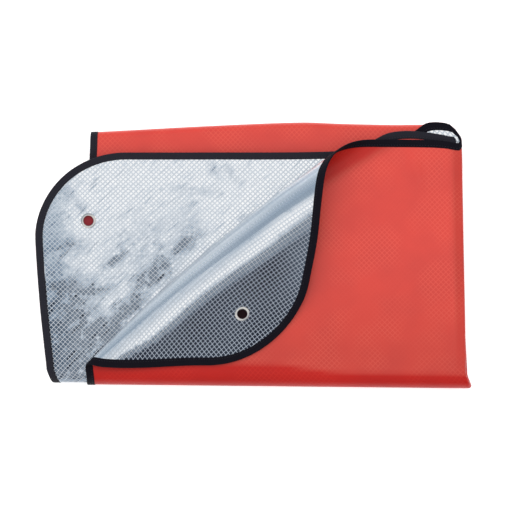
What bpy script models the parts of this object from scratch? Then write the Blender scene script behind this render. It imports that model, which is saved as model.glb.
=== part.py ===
"""Emergency foil blanket: a bound, laminated sheet with an eyelet in each corner.

The sheet is made flat and solid, scored along every line where it bends, and then folded by one
mapping: first in four along its length, then in four across its width, and last with the top
corner turned back on a loose roll. The edge tape goes through the same steps, so it follows the
cloth through each fold. Flat positions are u along the length, v across the width and w through
the thickness, with the red face at plus w. Lengths are in metres, +Z is up.
"""

import math

import bmesh
import bpy
from mathutils import Matrix, Vector

MM = 0.001

# Cloth
CLOTH_THICKNESS = 1.0 * MM
LAYER_PITCH = 2.6 * MM
CORNER_RADIUS = 127.0 * MM
CORNER_STEPS = 10

# Edge tape: a folded strip that holds the cloth's rim in a slot
TAPE_WIDTH = 10.0 * MM
TAPE_WALL = 0.3 * MM
FIT_GAP = 0.3 * MM

# Eyelets
EYELET_BORE_RADIUS = 7.0 * MM
EYELET_BARREL_RADIUS = 7.6 * MM
EYELET_RIM_RADIUS = 10.5 * MM
EYELET_CROWN = 0.7 * MM
EYELET_RIM_EDGE = 0.2 * MM
EYELET_STEPS = 20
CUTTER_DEPTH = 2.4 * MM

# Flat lengths of the four leaves (folded along the length) and four panels (across the width)
LEAF_LENGTHS = (522.0 * MM, 531.0 * MM, 532.0 * MM, 587.0 * MM)
PANEL_LENGTHS = (322.0 * MM, 336.0 * MM, 330.0 * MM, 268.0 * MM)

# A turn: the levels that it joins, in layer pitches below the top of its stack, the side that it
# bulges to, whether the side with plus offset is outside the bend, and its number of facets.
TURN_COLUMNS = ("from_level", "to_level", "side", "outside", "steps")
LEAF_TURNS = (
    (0, 3, 1, 1, 6),
    (3, 2, -1, 1, 4),
    (2, 1, 1, -1, 4),
)
PANEL_TURNS = (
    (0, 15, -1, 1, 12),
    (15, 8, 1, 1, 8),
    (8, 7, -1, -1, 6),
)
LEAF_LEVELS = (0, 3, 2, 1)
PANEL_LEVELS = (0, 15, 8, 7)
LAST_RUN = 6

# Where the leaves end and turn, in millimetres along X, by station across the width. Stations
# count runs and turns: 0 to 1 is the first panel, 1 to 2 the first turn, and so on.
X_LINE_COLUMNS = ("station", "first_end", "right_turn", "left_turn", "inner_turn", "last_end")
X_LINES = (
    (-0.08, -227.3, 280.5, -250.0, 276.0, -303.3),
    (0.00, -227.3, 287.6, -250.0, 282.0, -303.4),
    (0.20, -227.5, 289.4, -250.0, 283.8, -303.5),
    (0.40, -229.2, 290.5, -250.0, 285.0, -303.4),
    (0.70, -236.7, 292.3, -250.0, 287.0, -296.8),
    (0.88, -237.0, 293.2, -250.0, 287.9, -291.0),
    (1.00, -232.0, 293.8, -250.0, 288.5, -287.0),
    (1.50, -230.0, 302.0, -246.0, 295.0, -278.0),
    (2.00, -226.0, 297.0, -238.0, 291.0, -270.0),
    (3.00, -226.0, 280.0, -212.0, 274.0, -213.0),
    (4.00, -226.8, 279.0, -212.0, 273.0, -212.0),
    (4.14, -228.5, 281.0, -214.0, 275.0, -215.0),
    (5.00, -236.0, 288.0, -226.0, 282.0, -226.0),
    (6.00, -236.0, 288.0, -228.0, 282.0, -232.0),
    (7.00, -230.0, 280.0, -236.0, 274.0, -250.0),
)

# The open edge of the top panel, in millimetres along Y, by station along the length. The leaves
# creep past one another where they turn, so each leaf's edge has its own line.
OPEN_EDGE_COLUMNS = ("station", "y")
OPEN_EDGE = (
    (0.000, 167.5),
    (0.120, 167.8),
    (0.240, 169.9),
    (0.360, 169.4),
    (0.480, 163.0),
    (0.600, 158.4),
    (0.720, 161.0),
    (0.780, 161.0),
    (0.920, 160.3),
    (0.965, 158.8),
    (1.000, 156.0),
    (1.500, 163.0),
    (2.000, 176.0),
    (2.010, 182.5),
    (2.033, 185.5),
    (2.058, 185.6),
    (2.075, 183.6),
    (2.107, 173.5),
    (2.150, 161.0),
    (2.250, 147.0),
    (2.400, 130.0),
    (3.000, 104.0),
    (4.000, 100.0),
    (4.594, 128.0),
    (4.725, 147.0),
    (4.775, 156.5),
    (4.798, 163.0),
    (4.822, 169.0),
    (4.850, 172.2),
    (4.888, 173.3),
    (4.930, 171.4),
    (4.970, 168.0),
    (5.000, 165.0),
    (6.000, 160.0),
    (6.100, 156.0),
    (6.210, 149.0),
    (6.310, 144.0),
    (6.600, 143.0),
    (7.000, 143.0),
)
CLOSED_EDGE_Y = 112.0 * MM
# The corner of the top leaf that a plain fold would give. The edges swing to either side of it.
TOP_CORNER = Vector((-232.0 * MM, 161.0 * MM))

# The fold along the back, as far as its outermost layer reaches, in millimetres by X
BACK_FOLD_COLUMNS = ("x", "y")
BACK_FOLD = (
    (-305.0, 170.0),
    (-219.0, 174.0),
    (-60.0, 182.5),
    (67.0, 187.4),
    (124.0, 185.6),
    (198.0, 184.0),
    (242.0, 184.2),
    (305.0, 181.0),
)
FRONT_TURN_Y = -162.9 * MM
FRONT_TURN_SLOPE = -0.0107
INNER_TURN_SETBACK = 6.0 * MM

# The left rim lifts a little, so that the tape below it stays off the surface
RIM_LIFT = 0.8 * MM
RIM_LIFT_START_X = -150.0 * MM
RIM_LIFT_RUN = 60.0 * MM

# The second leaf of the top panel hangs past the others and droops
DROOP = 14.0 * MM
DROOP_START_X = -247.0 * MM
DROOP_RUN = 56.0 * MM
DROOP_POWER = 1.7

# The turned-back corner: a line from the near left to the far right, from which the cloth rolls up
# and over with a bend that slackens, then slopes down until it lies on the leaf below
ROLL_START = Vector((-226.3 * MM, -148.1 * MM))
ROLL_LENGTH = 433.0 * MM
ROLL_ANGLE = math.radians(40.6)
ROLL_BOW = 10.7 * MM
ROLL_ARC_AT_START = 28.0 * MM
ROLL_ARC_GROWTH = 0.235
ROLL_TURN = math.radians(196.0)
ROLL_STEPS = 10
ROLL_SAMPLES = 240
FLAP_REST_HEIGHT = 2.6 * MM
FLAP_REST_SOFTNESS = 2.0 * MM
FLAP_FREE_GAP = 20.0
FLAP_SCORES = (2.0, 2.3)

# Extra scores where an edge, a fold or the rim curves, and the spans of stations in which each
# kind is needed
ALL_STATIONS = (-1, 8)
FIRST_RUN = (-1, 1)
EDGE_SPAN = (-1, 0.35)
BACK_SPAN = (2.6, 4.5)
DROOP_SPAN = (-1, 2.0)
BACK_SCORE_X = (-60.0 * MM, 67.0 * MM, 124.0 * MM, 198.0 * MM, 242.0 * MM)
DROOP_STATIONS = (6.908, 6.931, 6.954, 6.976)
RIM_SCORE_X = (-150.0 * MM, -200.0 * MM)
PANEL_STATIONS = (0.35, 0.7, 2.6, 4.14, 4.5, 6.5)

# Eyelets: the distances of a centre from the two edges at its corner
EYELET_COLUMNS = ("name", "at_last_leaf", "at_last_panel", "from_end", "from_edge")
EYELETS = (
    ("eyelet_flap", False, False, 72.4 * MM, 83.0 * MM),
    ("eyelet_under", True, False, 74.6 * MM, 100.8 * MM),
    ("eyelet_hidden_a", False, True, 90.0 * MM, 92.0 * MM),
    ("eyelet_hidden_b", True, True, 72.0 * MM, 92.0 * MM),
)

ON_LINE = 0.05 * MM


def rows(columns, table):
    """The table's rows as dictionaries with the given column names."""
    return [dict(zip(columns, row)) for row in table]


def curve_at(points, at):
    """The height at one place of a smooth curve through (place, height) points."""
    if at <= points[0][0]:
        return points[0][1]
    if at >= points[-1][0]:
        return points[-1][1]
    i = max(k for k in range(len(points) - 1) if points[k][0] <= at)
    slopes = []
    for k in (i, i + 1):
        before = points[max(k - 1, 0)]
        after = points[min(k + 1, len(points) - 1)]
        slopes.append((after[1] - before[1]) / (after[0] - before[0]))
    (x0, y0), (x1, y1) = points[i], points[i + 1]
    h = x1 - x0
    t = (at - x0) / h
    return (
        y0 * (1 + 2 * t) * (1 - t) ** 2
        + slopes[0] * h * t * (1 - t) ** 2
        + y1 * t * t * (3 - 2 * t)
        + slopes[1] * h * t * t * (t - 1)
    )


def smooth_step(t):
    """0 below 0, 1 above 1, and a smooth rise between."""
    t = min(max(t, 0.0), 1.0)
    return t * t * (3 - 2 * t)


def lerp(a, b, t):
    """The value a share t of the way from a to b."""
    return a + (b - a) * t


class FoldPath:
    """Straight runs joined by half turns, along one direction of the flat cloth."""

    def __init__(self, run_lengths, turns, levels):
        self.turns = rows(TURN_COLUMNS, turns)
        self.levels = levels
        self.lengths = []
        for i, run in enumerate(run_lengths):
            self.lengths.append(run)
            if i < len(turns):
                self.lengths.append(math.pi * self.radius(self.turns[i]))
        self.total = sum(self.lengths)

    @staticmethod
    def radius(turn):
        return abs(turn["to_level"] - turn["from_level"]) / 2 * LAYER_PITCH

    def station(self, flat):
        """The station of a flat position: the index of its run or turn, plus how far along it is."""
        for i, length in enumerate(self.lengths):
            if flat < length or i == len(self.lengths) - 1:
                return i + flat / length
            flat -= length

    def flat(self, station):
        """The flat position of a station."""
        i = min(max(int(station), 0), len(self.lengths) - 1)
        return sum(self.lengths[:i]) + (station - i) * self.lengths[i]

    def place(self, station, offset):
        """How far past its line a point of a turn lies, and its height in the stack."""
        i = min(max(int(station), 0), len(self.lengths) - 1)
        if i % 2 == 0:
            face = 1 if i % 4 == 0 else -1
            return 0.0, face * offset - self.levels[i // 2] * LAYER_PITCH
        turn = self.turns[i // 2]
        angle = math.pi * (station - i)
        radius = self.radius(turn) + turn["outside"] * offset
        centre = -(turn["from_level"] + turn["to_level"]) / 2 * LAYER_PITCH
        start = 1 if turn["from_level"] < turn["to_level"] else -1
        return turn["side"] * radius * math.sin(angle), centre + start * radius * math.cos(angle)

    def turn_stations(self):
        """The stations of the facets' edges in every turn."""
        return [
            2 * k + 1 + step / turn["steps"]
            for k, turn in enumerate(self.turns)
            for step in range(turn["steps"] + 1)
        ]


LEAVES = FoldPath(LEAF_LENGTHS, LEAF_TURNS, LEAF_LEVELS)
PANELS = FoldPath(PANEL_LENGTHS, PANEL_TURNS, PANEL_LEVELS)
X_CURVES = {
    name: [(row[0], row[i] * MM) for row in X_LINES]
    for i, name in enumerate(X_LINE_COLUMNS)
    if i
}
OPEN_EDGE_CURVE = [(row["station"], row["y"] * MM) for row in rows(OPEN_EDGE_COLUMNS, OPEN_EDGE)]
BACK_FOLD_CURVE = [(row["x"] * MM, row["y"] * MM) for row in rows(BACK_FOLD_COLUMNS, BACK_FOLD)]
# The lines at the start and end of each leaf
LEAF_ENDS = (
    ("first_end", "right_turn"),
    ("right_turn", "left_turn"),
    ("left_turn", "inner_turn"),
    ("inner_turn", "last_end"),
)


def x_line(name, panel_station):
    return curve_at(X_CURVES[name], panel_station)


def x_position(leaf_station, panel_station, along):
    """X of a point, from its station along the length and how far past its line it lies."""
    i = min(max(int(leaf_station), 0), LAST_RUN)
    start, end = LEAF_ENDS[i // 2]
    if i % 2:
        return x_line(end, panel_station) + along
    t = leaf_station - i
    return lerp(x_line(start, panel_station), x_line(end, panel_station), t)


def turn_lines(x):
    """Y of the lines at which the front, back and inner turns begin, at one X."""
    front = FRONT_TURN_Y + FRONT_TURN_SLOPE * x
    reach = FoldPath.radius(PANELS.turns[1]) + CLOTH_THICKNESS / 2
    return front, curve_at(BACK_FOLD_CURVE, x) - reach, front + INNER_TURN_SETBACK


def y_position(leaf_station, panel_station, x, along):
    """Y of a point, from its station across the width and how far past its line it lies."""
    i = min(max(int(panel_station), 0), LAST_RUN)
    turns = turn_lines(x)
    if i % 2:
        return turns[i // 2] + along
    lines = (curve_at(OPEN_EDGE_CURVE, leaf_station), *turns, CLOSED_EDGE_Y)
    return lerp(lines[i // 2], lines[i // 2 + 1], panel_station - i)


def droop(leaf_station, panel_station, x):
    """How far the overhang of the top panel's last leaf sinks. It fades out round the front turn."""
    if leaf_station < LAST_RUN or panel_station >= 2:
        return 0.0
    reach = max((DROOP_START_X - x) / DROOP_RUN, 0.0)
    fade = 1.0 if panel_station < 1 else (1 + math.cos(math.pi * (panel_station - 1))) / 2
    return -DROOP * reach**DROOP_POWER * fade


def stacked(u, v, w):
    """Where a flat point lies once the cloth is folded both ways, before the corner is rolled."""
    leaf_station = LEAVES.station(u)
    panel_station = PANELS.station(v)
    along_x, depth = LEAVES.place(leaf_station, w)
    along_y, height = PANELS.place(panel_station, depth)
    # The right turn leans in towards the open edge, further on the leaves that reach past the top one.
    edge = curve_at(OPEN_EDGE_CURVE, leaf_station)
    past = (edge - TOP_CORNER.y) / PANEL_LENGTHS[0]
    lean = -max(past, 0.0) * (1 - panel_station) if panel_station < 1 else 0.0
    x = x_position(leaf_station, panel_station + lean, along_x)
    y = y_position(leaf_station, panel_station, x, along_y)
    height += droop(leaf_station, panel_station, x)
    height += RIM_LIFT * smooth_step((RIM_LIFT_START_X - x) / RIM_LIFT_RUN)
    return Vector((x, y, height))


class CornerRoll:
    """The turned-back corner of the top leaf: a bend that slackens as it comes over the top."""

    def __init__(self):
        self.along = Vector((math.cos(ROLL_ANGLE), math.sin(ROLL_ANGLE)))
        self.out = Vector((-self.along.y, self.along.x))
        self.profile = [(0.0, 0.0, 0.0)]
        x = z = 0.0
        for k in range(ROLL_SAMPLES):
            turned = self.turned((k + 0.5) / ROLL_SAMPLES)
            x += math.cos(turned) / ROLL_SAMPLES
            z += math.sin(turned) / ROLL_SAMPLES
            self.profile.append((x, z, self.turned((k + 1) / ROLL_SAMPLES)))
        self.reach = max(x for x, _, _ in self.profile)

    @staticmethod
    def turned(t):
        """The angle that the cloth has turned through at a share t of the bend."""
        return ROLL_TURN * (2 * t - t * t)

    def arc(self, a):
        """The length of cloth in the bend, at a place along the line."""
        return ROLL_ARC_AT_START + ROLL_ARC_GROWTH * a

    def start(self, a):
        """How far outside the straight line the cloth starts to bend, at a place along it."""
        bow = ROLL_BOW * (1 - (2 * a / ROLL_LENGTH - 1) ** 2)
        return bow - self.reach * self.arc(a)

    def line_point(self, a, t):
        """The flat point, in X and Y, at a place along the line and a share t of the bend."""
        return ROLL_START + self.along * a + self.out * (self.start(a) + t * self.arc(a))

    def section(self, t):
        """Reach, height and angle after a share t of the bend, for a bend one unit long."""
        if t >= 1:
            x, z, turned = self.profile[-1]
            return x + (t - 1) * math.cos(turned), z + (t - 1) * math.sin(turned), turned
        k = min(int(t * ROLL_SAMPLES), ROLL_SAMPLES - 1)
        part = t * ROLL_SAMPLES - k
        return tuple(lerp(a, b, part) for a, b in zip(self.profile[k], self.profile[k + 1]))

    def rolled(self, point, level):
        """Where a point of the flat top leaf goes. Level is the height of the leaf's middle."""
        from_start = Vector((point.x, point.y)) - ROLL_START
        a = from_start.dot(self.along)
        start = self.start(a)
        arc = self.arc(a)
        t = (from_start.dot(self.out) - start) / arc
        if t <= 0:
            return point
        reach, height, turned = self.section(t)
        reach *= arc
        height *= arc
        if turned > math.pi / 2:
            gap = (height - FLAP_REST_HEIGHT) / FLAP_REST_SOFTNESS
            if gap < FLAP_FREE_GAP:
                slope = 1 / (1 + math.exp(-gap))
                height = FLAP_REST_HEIGHT + FLAP_REST_SOFTNESS * math.log1p(math.exp(gap))
                turned = math.pi + (turned - math.pi) * slope
        offset = point.z - level
        reach -= offset * math.sin(turned)
        height += offset * math.cos(turned)
        flat = ROLL_START + self.along * a + self.out * (start + reach)
        return Vector((flat.x, flat.y, level + height))


ROLL = CornerRoll()


def folded(u, v, w):
    """Where a flat point of the cloth lies in the folded blanket, before it is centred."""
    point = stacked(u, v, w)
    if LEAVES.station(u) < 1 and PANELS.station(v) < 1:
        return ROLL.rolled(point, point.z - w)
    return point


# Scores


def score(bm, point, direction, leaf_span=ALL_STATIONS, panel_span=ALL_STATIONS):
    """Cuts the faces in the given spans of stations along one line, seen from above."""
    low = Vector((LEAVES.flat(leaf_span[0]) - ON_LINE, PANELS.flat(panel_span[0]) - ON_LINE))
    high = Vector((LEAVES.flat(leaf_span[1]) + ON_LINE, PANELS.flat(panel_span[1]) + ON_LINE))
    faces = [
        face
        for face in bm.faces
        if all(low.x < v.co.x < high.x and low.y < v.co.y < high.y for v in face.verts)
    ]
    edges = {edge for face in faces for edge in face.edges}
    verts = {vert for face in faces for vert in face.verts}
    bmesh.ops.bisect_plane(
        bm,
        geom=faces + list(edges) + list(verts),
        dist=ON_LINE,
        plane_co=(point[0], point[1], 0),
        plane_no=(-direction[1], direction[0], 0),
    )


def station_of_x(leaf, x):
    """The station along the length at which a leaf of the flat stack passes an X."""
    start, end = (x_line(name, 0.5) for name in LEAF_ENDS[leaf])
    return 2 * leaf + (x - start) / (end - start)


def score_for_folding(bm):
    """Scores the flat shape along every line where it will bend or curve."""
    along_width = (0, 1)
    along_length = (1, 0)
    for station in PANELS.turn_stations() + list(PANEL_STATIONS):
        score(bm, (0, PANELS.flat(station)), along_length)
    rim = [station_of_x(leaf, x) for leaf in range(4) for x in RIM_SCORE_X]
    for station in LEAVES.turn_stations() + rim:
        score(bm, (LEAVES.flat(station), 0), along_width)
    back = [station_of_x(leaf, x) for leaf in range(4) for x in BACK_SCORE_X]
    edge = [station for station, _ in OPEN_EDGE if station % 1 and int(station) % 2 == 0]
    for stations, span in ((back, BACK_SPAN), (edge, EDGE_SPAN), (DROOP_STATIONS, DROOP_SPAN)):
        for station in stations:
            score(bm, (LEAVES.flat(station), 0), along_width, panel_span=span)
    bends = [1 - math.sqrt(1 - k / ROLL_STEPS) for k in range(ROLL_STEPS + 1)]
    for t in bends + list(FLAP_SCORES):
        ends = [ROLL.line_point(a, t) for a in (0, ROLL_LENGTH)]
        flat_ends = [Vector((p.x - TOP_CORNER.x, TOP_CORNER.y - p.y)) for p in ends]
        score(bm, flat_ends[0], flat_ends[1] - flat_ends[0], FIRST_RUN, FIRST_RUN)


def fold(bm):
    """Scores, triangulates and folds a flat shape. The fold mirrors it, since v runs towards -Y."""
    bmesh.ops.recalc_face_normals(bm, faces=bm.faces)
    score_for_folding(bm)
    bmesh.ops.triangulate(bm, faces=bm.faces)
    for vert in bm.verts:
        vert.co = folded(*vert.co)
    bmesh.ops.reverse_faces(bm, faces=bm.faces)


# Flat shapes


def rim_points():
    """Points round the cloth's rounded outline with their outward directions."""
    points = []
    for corner in range(4):
        centre = Vector(
            (
                LEAVES.total - CORNER_RADIUS if corner in (0, 3) else CORNER_RADIUS,
                PANELS.total - CORNER_RADIUS if corner in (0, 1) else CORNER_RADIUS,
            )
        )
        for step in range(CORNER_STEPS + 1):
            angle = (corner + step / CORNER_STEPS) * math.pi / 2
            out = Vector((math.cos(angle), math.sin(angle)))
            points.append((centre + out * CORNER_RADIUS, out))
    return points


def flat_cloth():
    """The cloth as a flat plate, with its red face as material 0 and its silver face as 1."""
    half = CLOTH_THICKNESS / 2
    bm = bmesh.new()
    rings = []
    for inset, w in ((TAPE_WIDTH, half), (0, half), (0, -half), (TAPE_WIDTH, -half)):
        ring = [point - out * inset for point, out in rim_points()]
        rings.append([bm.verts.new((p.x, p.y, w)) for p in ring])
    bm.faces.new(rings[0])
    bm.faces.new(reversed(rings[3]))
    for upper, lower in zip(rings, rings[1:]):
        for i, vert in enumerate(upper):
            bm.faces.new((vert, upper[i - 1], lower[i - 1], lower[i]))
    for face in bm.faces:
        face.material_index = 1 if all(vert.co.z < 0 for vert in face.verts) else 0
    return bm


def flat_tape():
    """The edge tape as a flat channel round the rim, with the cloth's edge in its slot."""
    slot = CLOTH_THICKNESS / 2 + FIT_GAP
    half = slot + TAPE_WALL
    back = FIT_GAP + TAPE_WALL
    section = (
        (back, -half),
        (back, half),
        (-TAPE_WIDTH, half),
        (-TAPE_WIDTH, slot),
        (FIT_GAP, slot),
        (FIT_GAP, -slot),
        (-TAPE_WIDTH, -slot),
        (-TAPE_WIDTH, -half),
    )
    bm = bmesh.new()
    rings = []
    for point, out in rim_points():
        ring = [(point + out * reach, w) for reach, w in section]
        rings.append([bm.verts.new((p.x, p.y, w)) for p, w in ring])
    for i, ring in enumerate(rings):
        before = rings[i - 1]
        for k, vert in enumerate(ring):
            bm.faces.new((before[k], vert, ring[k - 1], before[k - 1]))
    return bm


def eyelet_ring():
    """A turned metal eyelet, a barrel with a rolled rim on each face of the cloth."""
    seat = CLOTH_THICKNESS / 2 + FIT_GAP
    crown = seat + EYELET_CROWN
    rim = seat + EYELET_RIM_EDGE
    middle = (EYELET_BARREL_RADIUS + EYELET_RIM_RADIUS) / 2
    upper = (
        (EYELET_BORE_RADIUS, seat),
        (EYELET_BARREL_RADIUS, crown),
        (middle, crown),
        (EYELET_RIM_RADIUS, rim),
        (EYELET_RIM_RADIUS, seat),
        (EYELET_BARREL_RADIUS, seat),
    )
    profile = upper + tuple((r, -w) for r, w in reversed(upper))
    bm = bmesh.new()
    rings = []
    for step in range(EYELET_STEPS):
        angle = 2 * math.pi * step / EYELET_STEPS
        turn = (math.cos(angle), math.sin(angle))
        rings.append([bm.verts.new((r * turn[0], r * turn[1], w)) for r, w in profile])
    for i, ring in enumerate(rings):
        for k, vert in enumerate(ring):
            bm.faces.new((rings[i - 1][k], vert, ring[k - 1], rings[i - 1][k - 1]))
    bmesh.ops.recalc_face_normals(bm, faces=bm.faces)
    return bm


# Scene


def clear_scene():
    for obj in list(bpy.data.objects):
        bpy.data.objects.remove(obj)


def material(name, colour, roughness, metallic=0.0):
    """A Principled material with one colour, roughness and metallic value."""
    made = bpy.data.materials.new(name)
    made.use_nodes = True
    shader = made.node_tree.nodes["Principled BSDF"]
    shader.inputs["Base Color"].default_value = (*colour, 1)
    shader.inputs["Roughness"].default_value = roughness
    shader.inputs["Metallic"].default_value = metallic
    return made


def add_object(name, bm, materials):
    mesh = bpy.data.meshes.new(name)
    bm.to_mesh(mesh)
    bm.free()
    for each in materials:
        mesh.materials.append(each)
    obj = bpy.data.objects.new(name, mesh)
    bpy.context.scene.collection.objects.link(obj)
    return obj


def add_folded(name, bm, materials):
    """Folds a flat shape and adds it, with its broad faces shaded smooth."""
    fold(bm)
    obj = add_object(name, bm, materials)
    obj.data.shade_smooth()
    obj.data.set_sharp_from_angle(angle=math.radians(50))
    return obj


def folded_frame(u, v):
    """The place of a point of the cloth's middle, with its normal as local Z."""
    step = 1.0 * MM
    along = folded(u + step, v, 0) - folded(u - step, v, 0)
    across = folded(u, v + step, 0) - folded(u, v - step, 0)
    normal = along.cross(across).normalized()
    along.normalize()
    side = normal.cross(along)
    frame = Matrix((along, side, normal)).transposed().to_4x4()
    frame.translation = folded(u, v, 0)
    return frame


def add_eyelet(row, metal, cloth, foot):
    """Adds one eyelet and cuts its hole in the cloth, which has been moved to stand on its foot."""
    u = LEAVES.total - row["from_end"] if row["at_last_leaf"] else row["from_end"]
    v = PANELS.total - row["from_edge"] if row["at_last_panel"] else row["from_edge"]
    frame = Matrix.Translation(-foot) @ folded_frame(u, v)
    ring = add_object(row["name"], eyelet_ring(), [metal])
    ring.matrix_world = frame
    ring.data.shade_smooth()
    ring.data.set_sharp_from_angle(angle=math.radians(35))
    bm = bmesh.new()
    bmesh.ops.create_cone(
        bm,
        cap_ends=True,
        segments=EYELET_STEPS,
        radius1=EYELET_BARREL_RADIUS + FIT_GAP,
        radius2=EYELET_BARREL_RADIUS + FIT_GAP,
        depth=CUTTER_DEPTH,
    )
    cutter = add_object(row["name"] + "_cutter", bm, [])
    cutter.matrix_world = frame
    cutter.hide_render = True
    cutter.display_type = "WIRE"
    cut = cloth.modifiers.new(row["name"], "BOOLEAN")
    cut.object = cutter
    cut.operation = "DIFFERENCE"
    cut.solver = "EXACT"


def box_foot(objects):
    """The middle of the underside of the box round some objects."""
    points = [vert.co for obj in objects for vert in obj.data.vertices]
    low = Vector([min(p[i] for p in points) for i in range(3)])
    high = Vector([max(p[i] for p in points) for i in range(3)])
    return Vector(((low.x + high.x) / 2, (low.y + high.y) / 2, low.z))


def main():
    clear_scene()
    red = material("red_laminate", (0.72, 0.08, 0.06), 0.45)
    silver = material("metallised_film", (0.75, 0.77, 0.80), 0.28, 0.9)
    tape = material("black_tape", (0.012, 0.014, 0.018), 0.8)
    metal = material("eyelet_metal", (0.75, 0.74, 0.72), 0.25, 1.0)
    cloth = add_folded("cloth", flat_cloth(), [red, silver])
    edge_tape = add_folded("edge_tape", flat_tape(), [tape])
    foot = box_foot([cloth, edge_tape])
    for obj in (cloth, edge_tape):
        obj.data.transform(Matrix.Translation(-foot))
    for row in rows(EYELET_COLUMNS, EYELETS):
        add_eyelet(row, metal, cloth, foot)


if __name__ == "__main__":
    main()
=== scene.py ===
"""Looks of a folded emergency blanket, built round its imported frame.

The sheet is laid out flat, cut to its rounded outline, and carried through the same folds as the
frame: in four along its length, in four across its width, and last with the top corner turned back
on a loose roll. Flat positions are u along the length, v across the width and w through the
thickness, with the red face at plus w. Lengths are in metres, +Z is up.
"""

import logging
import math
from bisect import bisect_right
from collections.abc import Callable, Iterable, Sequence
from dataclasses import dataclass, field
from enum import Enum
from functools import partial

import bmesh
import bpy
from mathutils import Matrix, Vector, noise

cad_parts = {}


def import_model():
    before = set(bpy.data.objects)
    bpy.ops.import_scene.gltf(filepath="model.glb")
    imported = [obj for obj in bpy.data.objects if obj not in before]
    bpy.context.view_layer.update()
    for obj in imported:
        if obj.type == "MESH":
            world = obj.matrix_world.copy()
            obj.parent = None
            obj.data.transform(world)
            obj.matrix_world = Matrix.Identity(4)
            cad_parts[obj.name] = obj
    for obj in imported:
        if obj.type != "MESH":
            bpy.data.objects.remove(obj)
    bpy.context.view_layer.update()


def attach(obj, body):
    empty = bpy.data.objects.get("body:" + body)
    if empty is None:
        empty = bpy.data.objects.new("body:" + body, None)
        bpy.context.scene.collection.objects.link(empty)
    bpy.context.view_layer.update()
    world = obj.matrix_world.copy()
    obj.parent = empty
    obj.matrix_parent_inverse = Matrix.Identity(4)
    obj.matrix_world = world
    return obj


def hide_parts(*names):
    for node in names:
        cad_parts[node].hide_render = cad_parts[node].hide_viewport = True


LOG = logging.getLogger("blanket")
MM = 0.001
FLAT_UV = "flat"
ROOT = "root"
# A length too small to show, for steps to just inside or just outside a line
HAIR = 0.1 * MM
# A bell has fallen to nothing this many widths from its middle
BELL_END = 3.0
# The middle of a noise's colour, which is taken off to centre it
MID_NOISE = (0.5, 0.5, 0.5)

# Adds a node to one material's tree, and parts of a mesh as its cutting tools take and give them
AddNode = Callable[..., bpy.types.Node]
Geometry = list[bmesh.types.BMVert | bmesh.types.BMEdge | bmesh.types.BMFace]


# Helpers


def linear(hex_colour: str) -> tuple[float, float, float, float]:
    """Turns an sRGB hex colour into linear values.

    Args:
        hex_colour: the colour as "#RRGGBB".

    Returns:
        Red, green, blue and an alpha of 1.
    """
    channels = (int(hex_colour[i : i + 2], 16) / 255 for i in (1, 3, 5))
    red, green, blue = (
        c / 12.92 if c <= 0.04045 else ((c + 0.055) / 1.055) ** 2.4 for c in channels
    )
    return red, green, blue, 1.0


def smooth_step(t: float) -> float:
    """Gives 0 below 0, 1 above 1, and a smooth rise between."""
    t = min(max(t, 0.0), 1.0)
    return t * t * (3 - 2 * t)


def lerp(a: float, b: float, t: float) -> float:
    """Gives the value a share t of the way from a to b."""
    return a + (b - a) * t


def bell(away: float) -> float:
    """Gives 1 at 0, and a smooth fall to 0 on both sides."""
    return math.exp(-away * away) if abs(away) < BELL_END else 0.0


@dataclass(frozen=True)
class Unevenness:
    """Smooth noise of one size, that rises and falls by its height.

    The seed says which noise it is, so that no two are alike, and squeeze is how much shorter its
    features are along the second direction.
    """

    size: float
    height: float
    seed: float
    squeeze: float = 1.0

    def at(self, x: float, y: float) -> float:
        """Gives the noise at a point."""
        place = (x / self.size, self.squeeze * y / self.size, self.seed)
        return self.height * noise.noise(Vector(place))


def add_node(
    tree: bpy.types.NodeTree,
    kind: str,
    inputs: dict[str | int, object] | None = None,
    **settings: object,
) -> bpy.types.Node:
    """Adds a node with its settings, input values and links.

    Args:
        tree: the node tree.
        kind: the node's type, without its "ShaderNode" prefix.
        inputs: for each input, by index or by its name among those in use, a value, an output
            socket, or a node whose first output in use is meant.
        settings: the node's own properties.

    Returns:
        The new node.
    """
    made = tree.nodes.new("ShaderNode" + kind)
    for name, value in settings.items():
        setattr(made, name, value)
    in_use = {socket.name: socket for socket in made.inputs if socket.enabled}
    for key, value in (inputs or {}).items():
        target = in_use[key] if isinstance(key, str) else made.inputs[key]
        if isinstance(value, bpy.types.Node):
            value = next(socket for socket in value.outputs if socket.enabled)
        if isinstance(value, bpy.types.NodeSocket):
            tree.links.new(value, target)
        else:
            target.default_value = value
    return made


def new_material(name: str) -> tuple[bpy.types.Material, bpy.types.NodeTree]:
    """Makes an empty node material.

    Args:
        name: the real material's name.

    Returns:
        The material and its node tree.
    """
    made = bpy.data.materials.new(name)
    made.use_nodes = True
    made.node_tree.nodes.clear()
    return made, made.node_tree


def set_stops(ramp: bpy.types.Node, stops: Sequence[tuple[float, str]]) -> None:
    """Sets a colour ramp's stops.

    Args:
        ramp: the colour ramp.
        stops: position and sRGB hex colour of each stop.
    """
    elements = ramp.color_ramp.elements
    while len(elements) < len(stops):
        elements.new(0.5)
    for element, (position, colour) in zip(elements, stops):
        element.position = position
        element.color = linear(colour)


def per_metre(size_mm: float) -> float:
    """Gives a pattern's scale from the size of one of its features, in millimetres."""
    return 1 / MM / size_mm


def finish_material(tree: bpy.types.NodeTree, inputs: dict[str | int, object]) -> None:
    """Adds the Principled shader and the output to a material.

    Args:
        tree: the material's node tree.
        inputs: values and links for the shader's inputs.
    """
    shader = add_node(tree, "BsdfPrincipled", inputs)
    add_node(tree, "OutputMaterial", {"Surface": shader})


def add_object(name: str, data: bpy.types.ID) -> bpy.types.Object:
    """Makes an object of a mesh, light or camera, and adds it to the scene.

    Args:
        name: the object's name.
        data: the mesh, light or camera.

    Returns:
        The object.
    """
    made = bpy.data.objects.new(name, data)
    bpy.context.scene.collection.objects.link(made)
    return made


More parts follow.
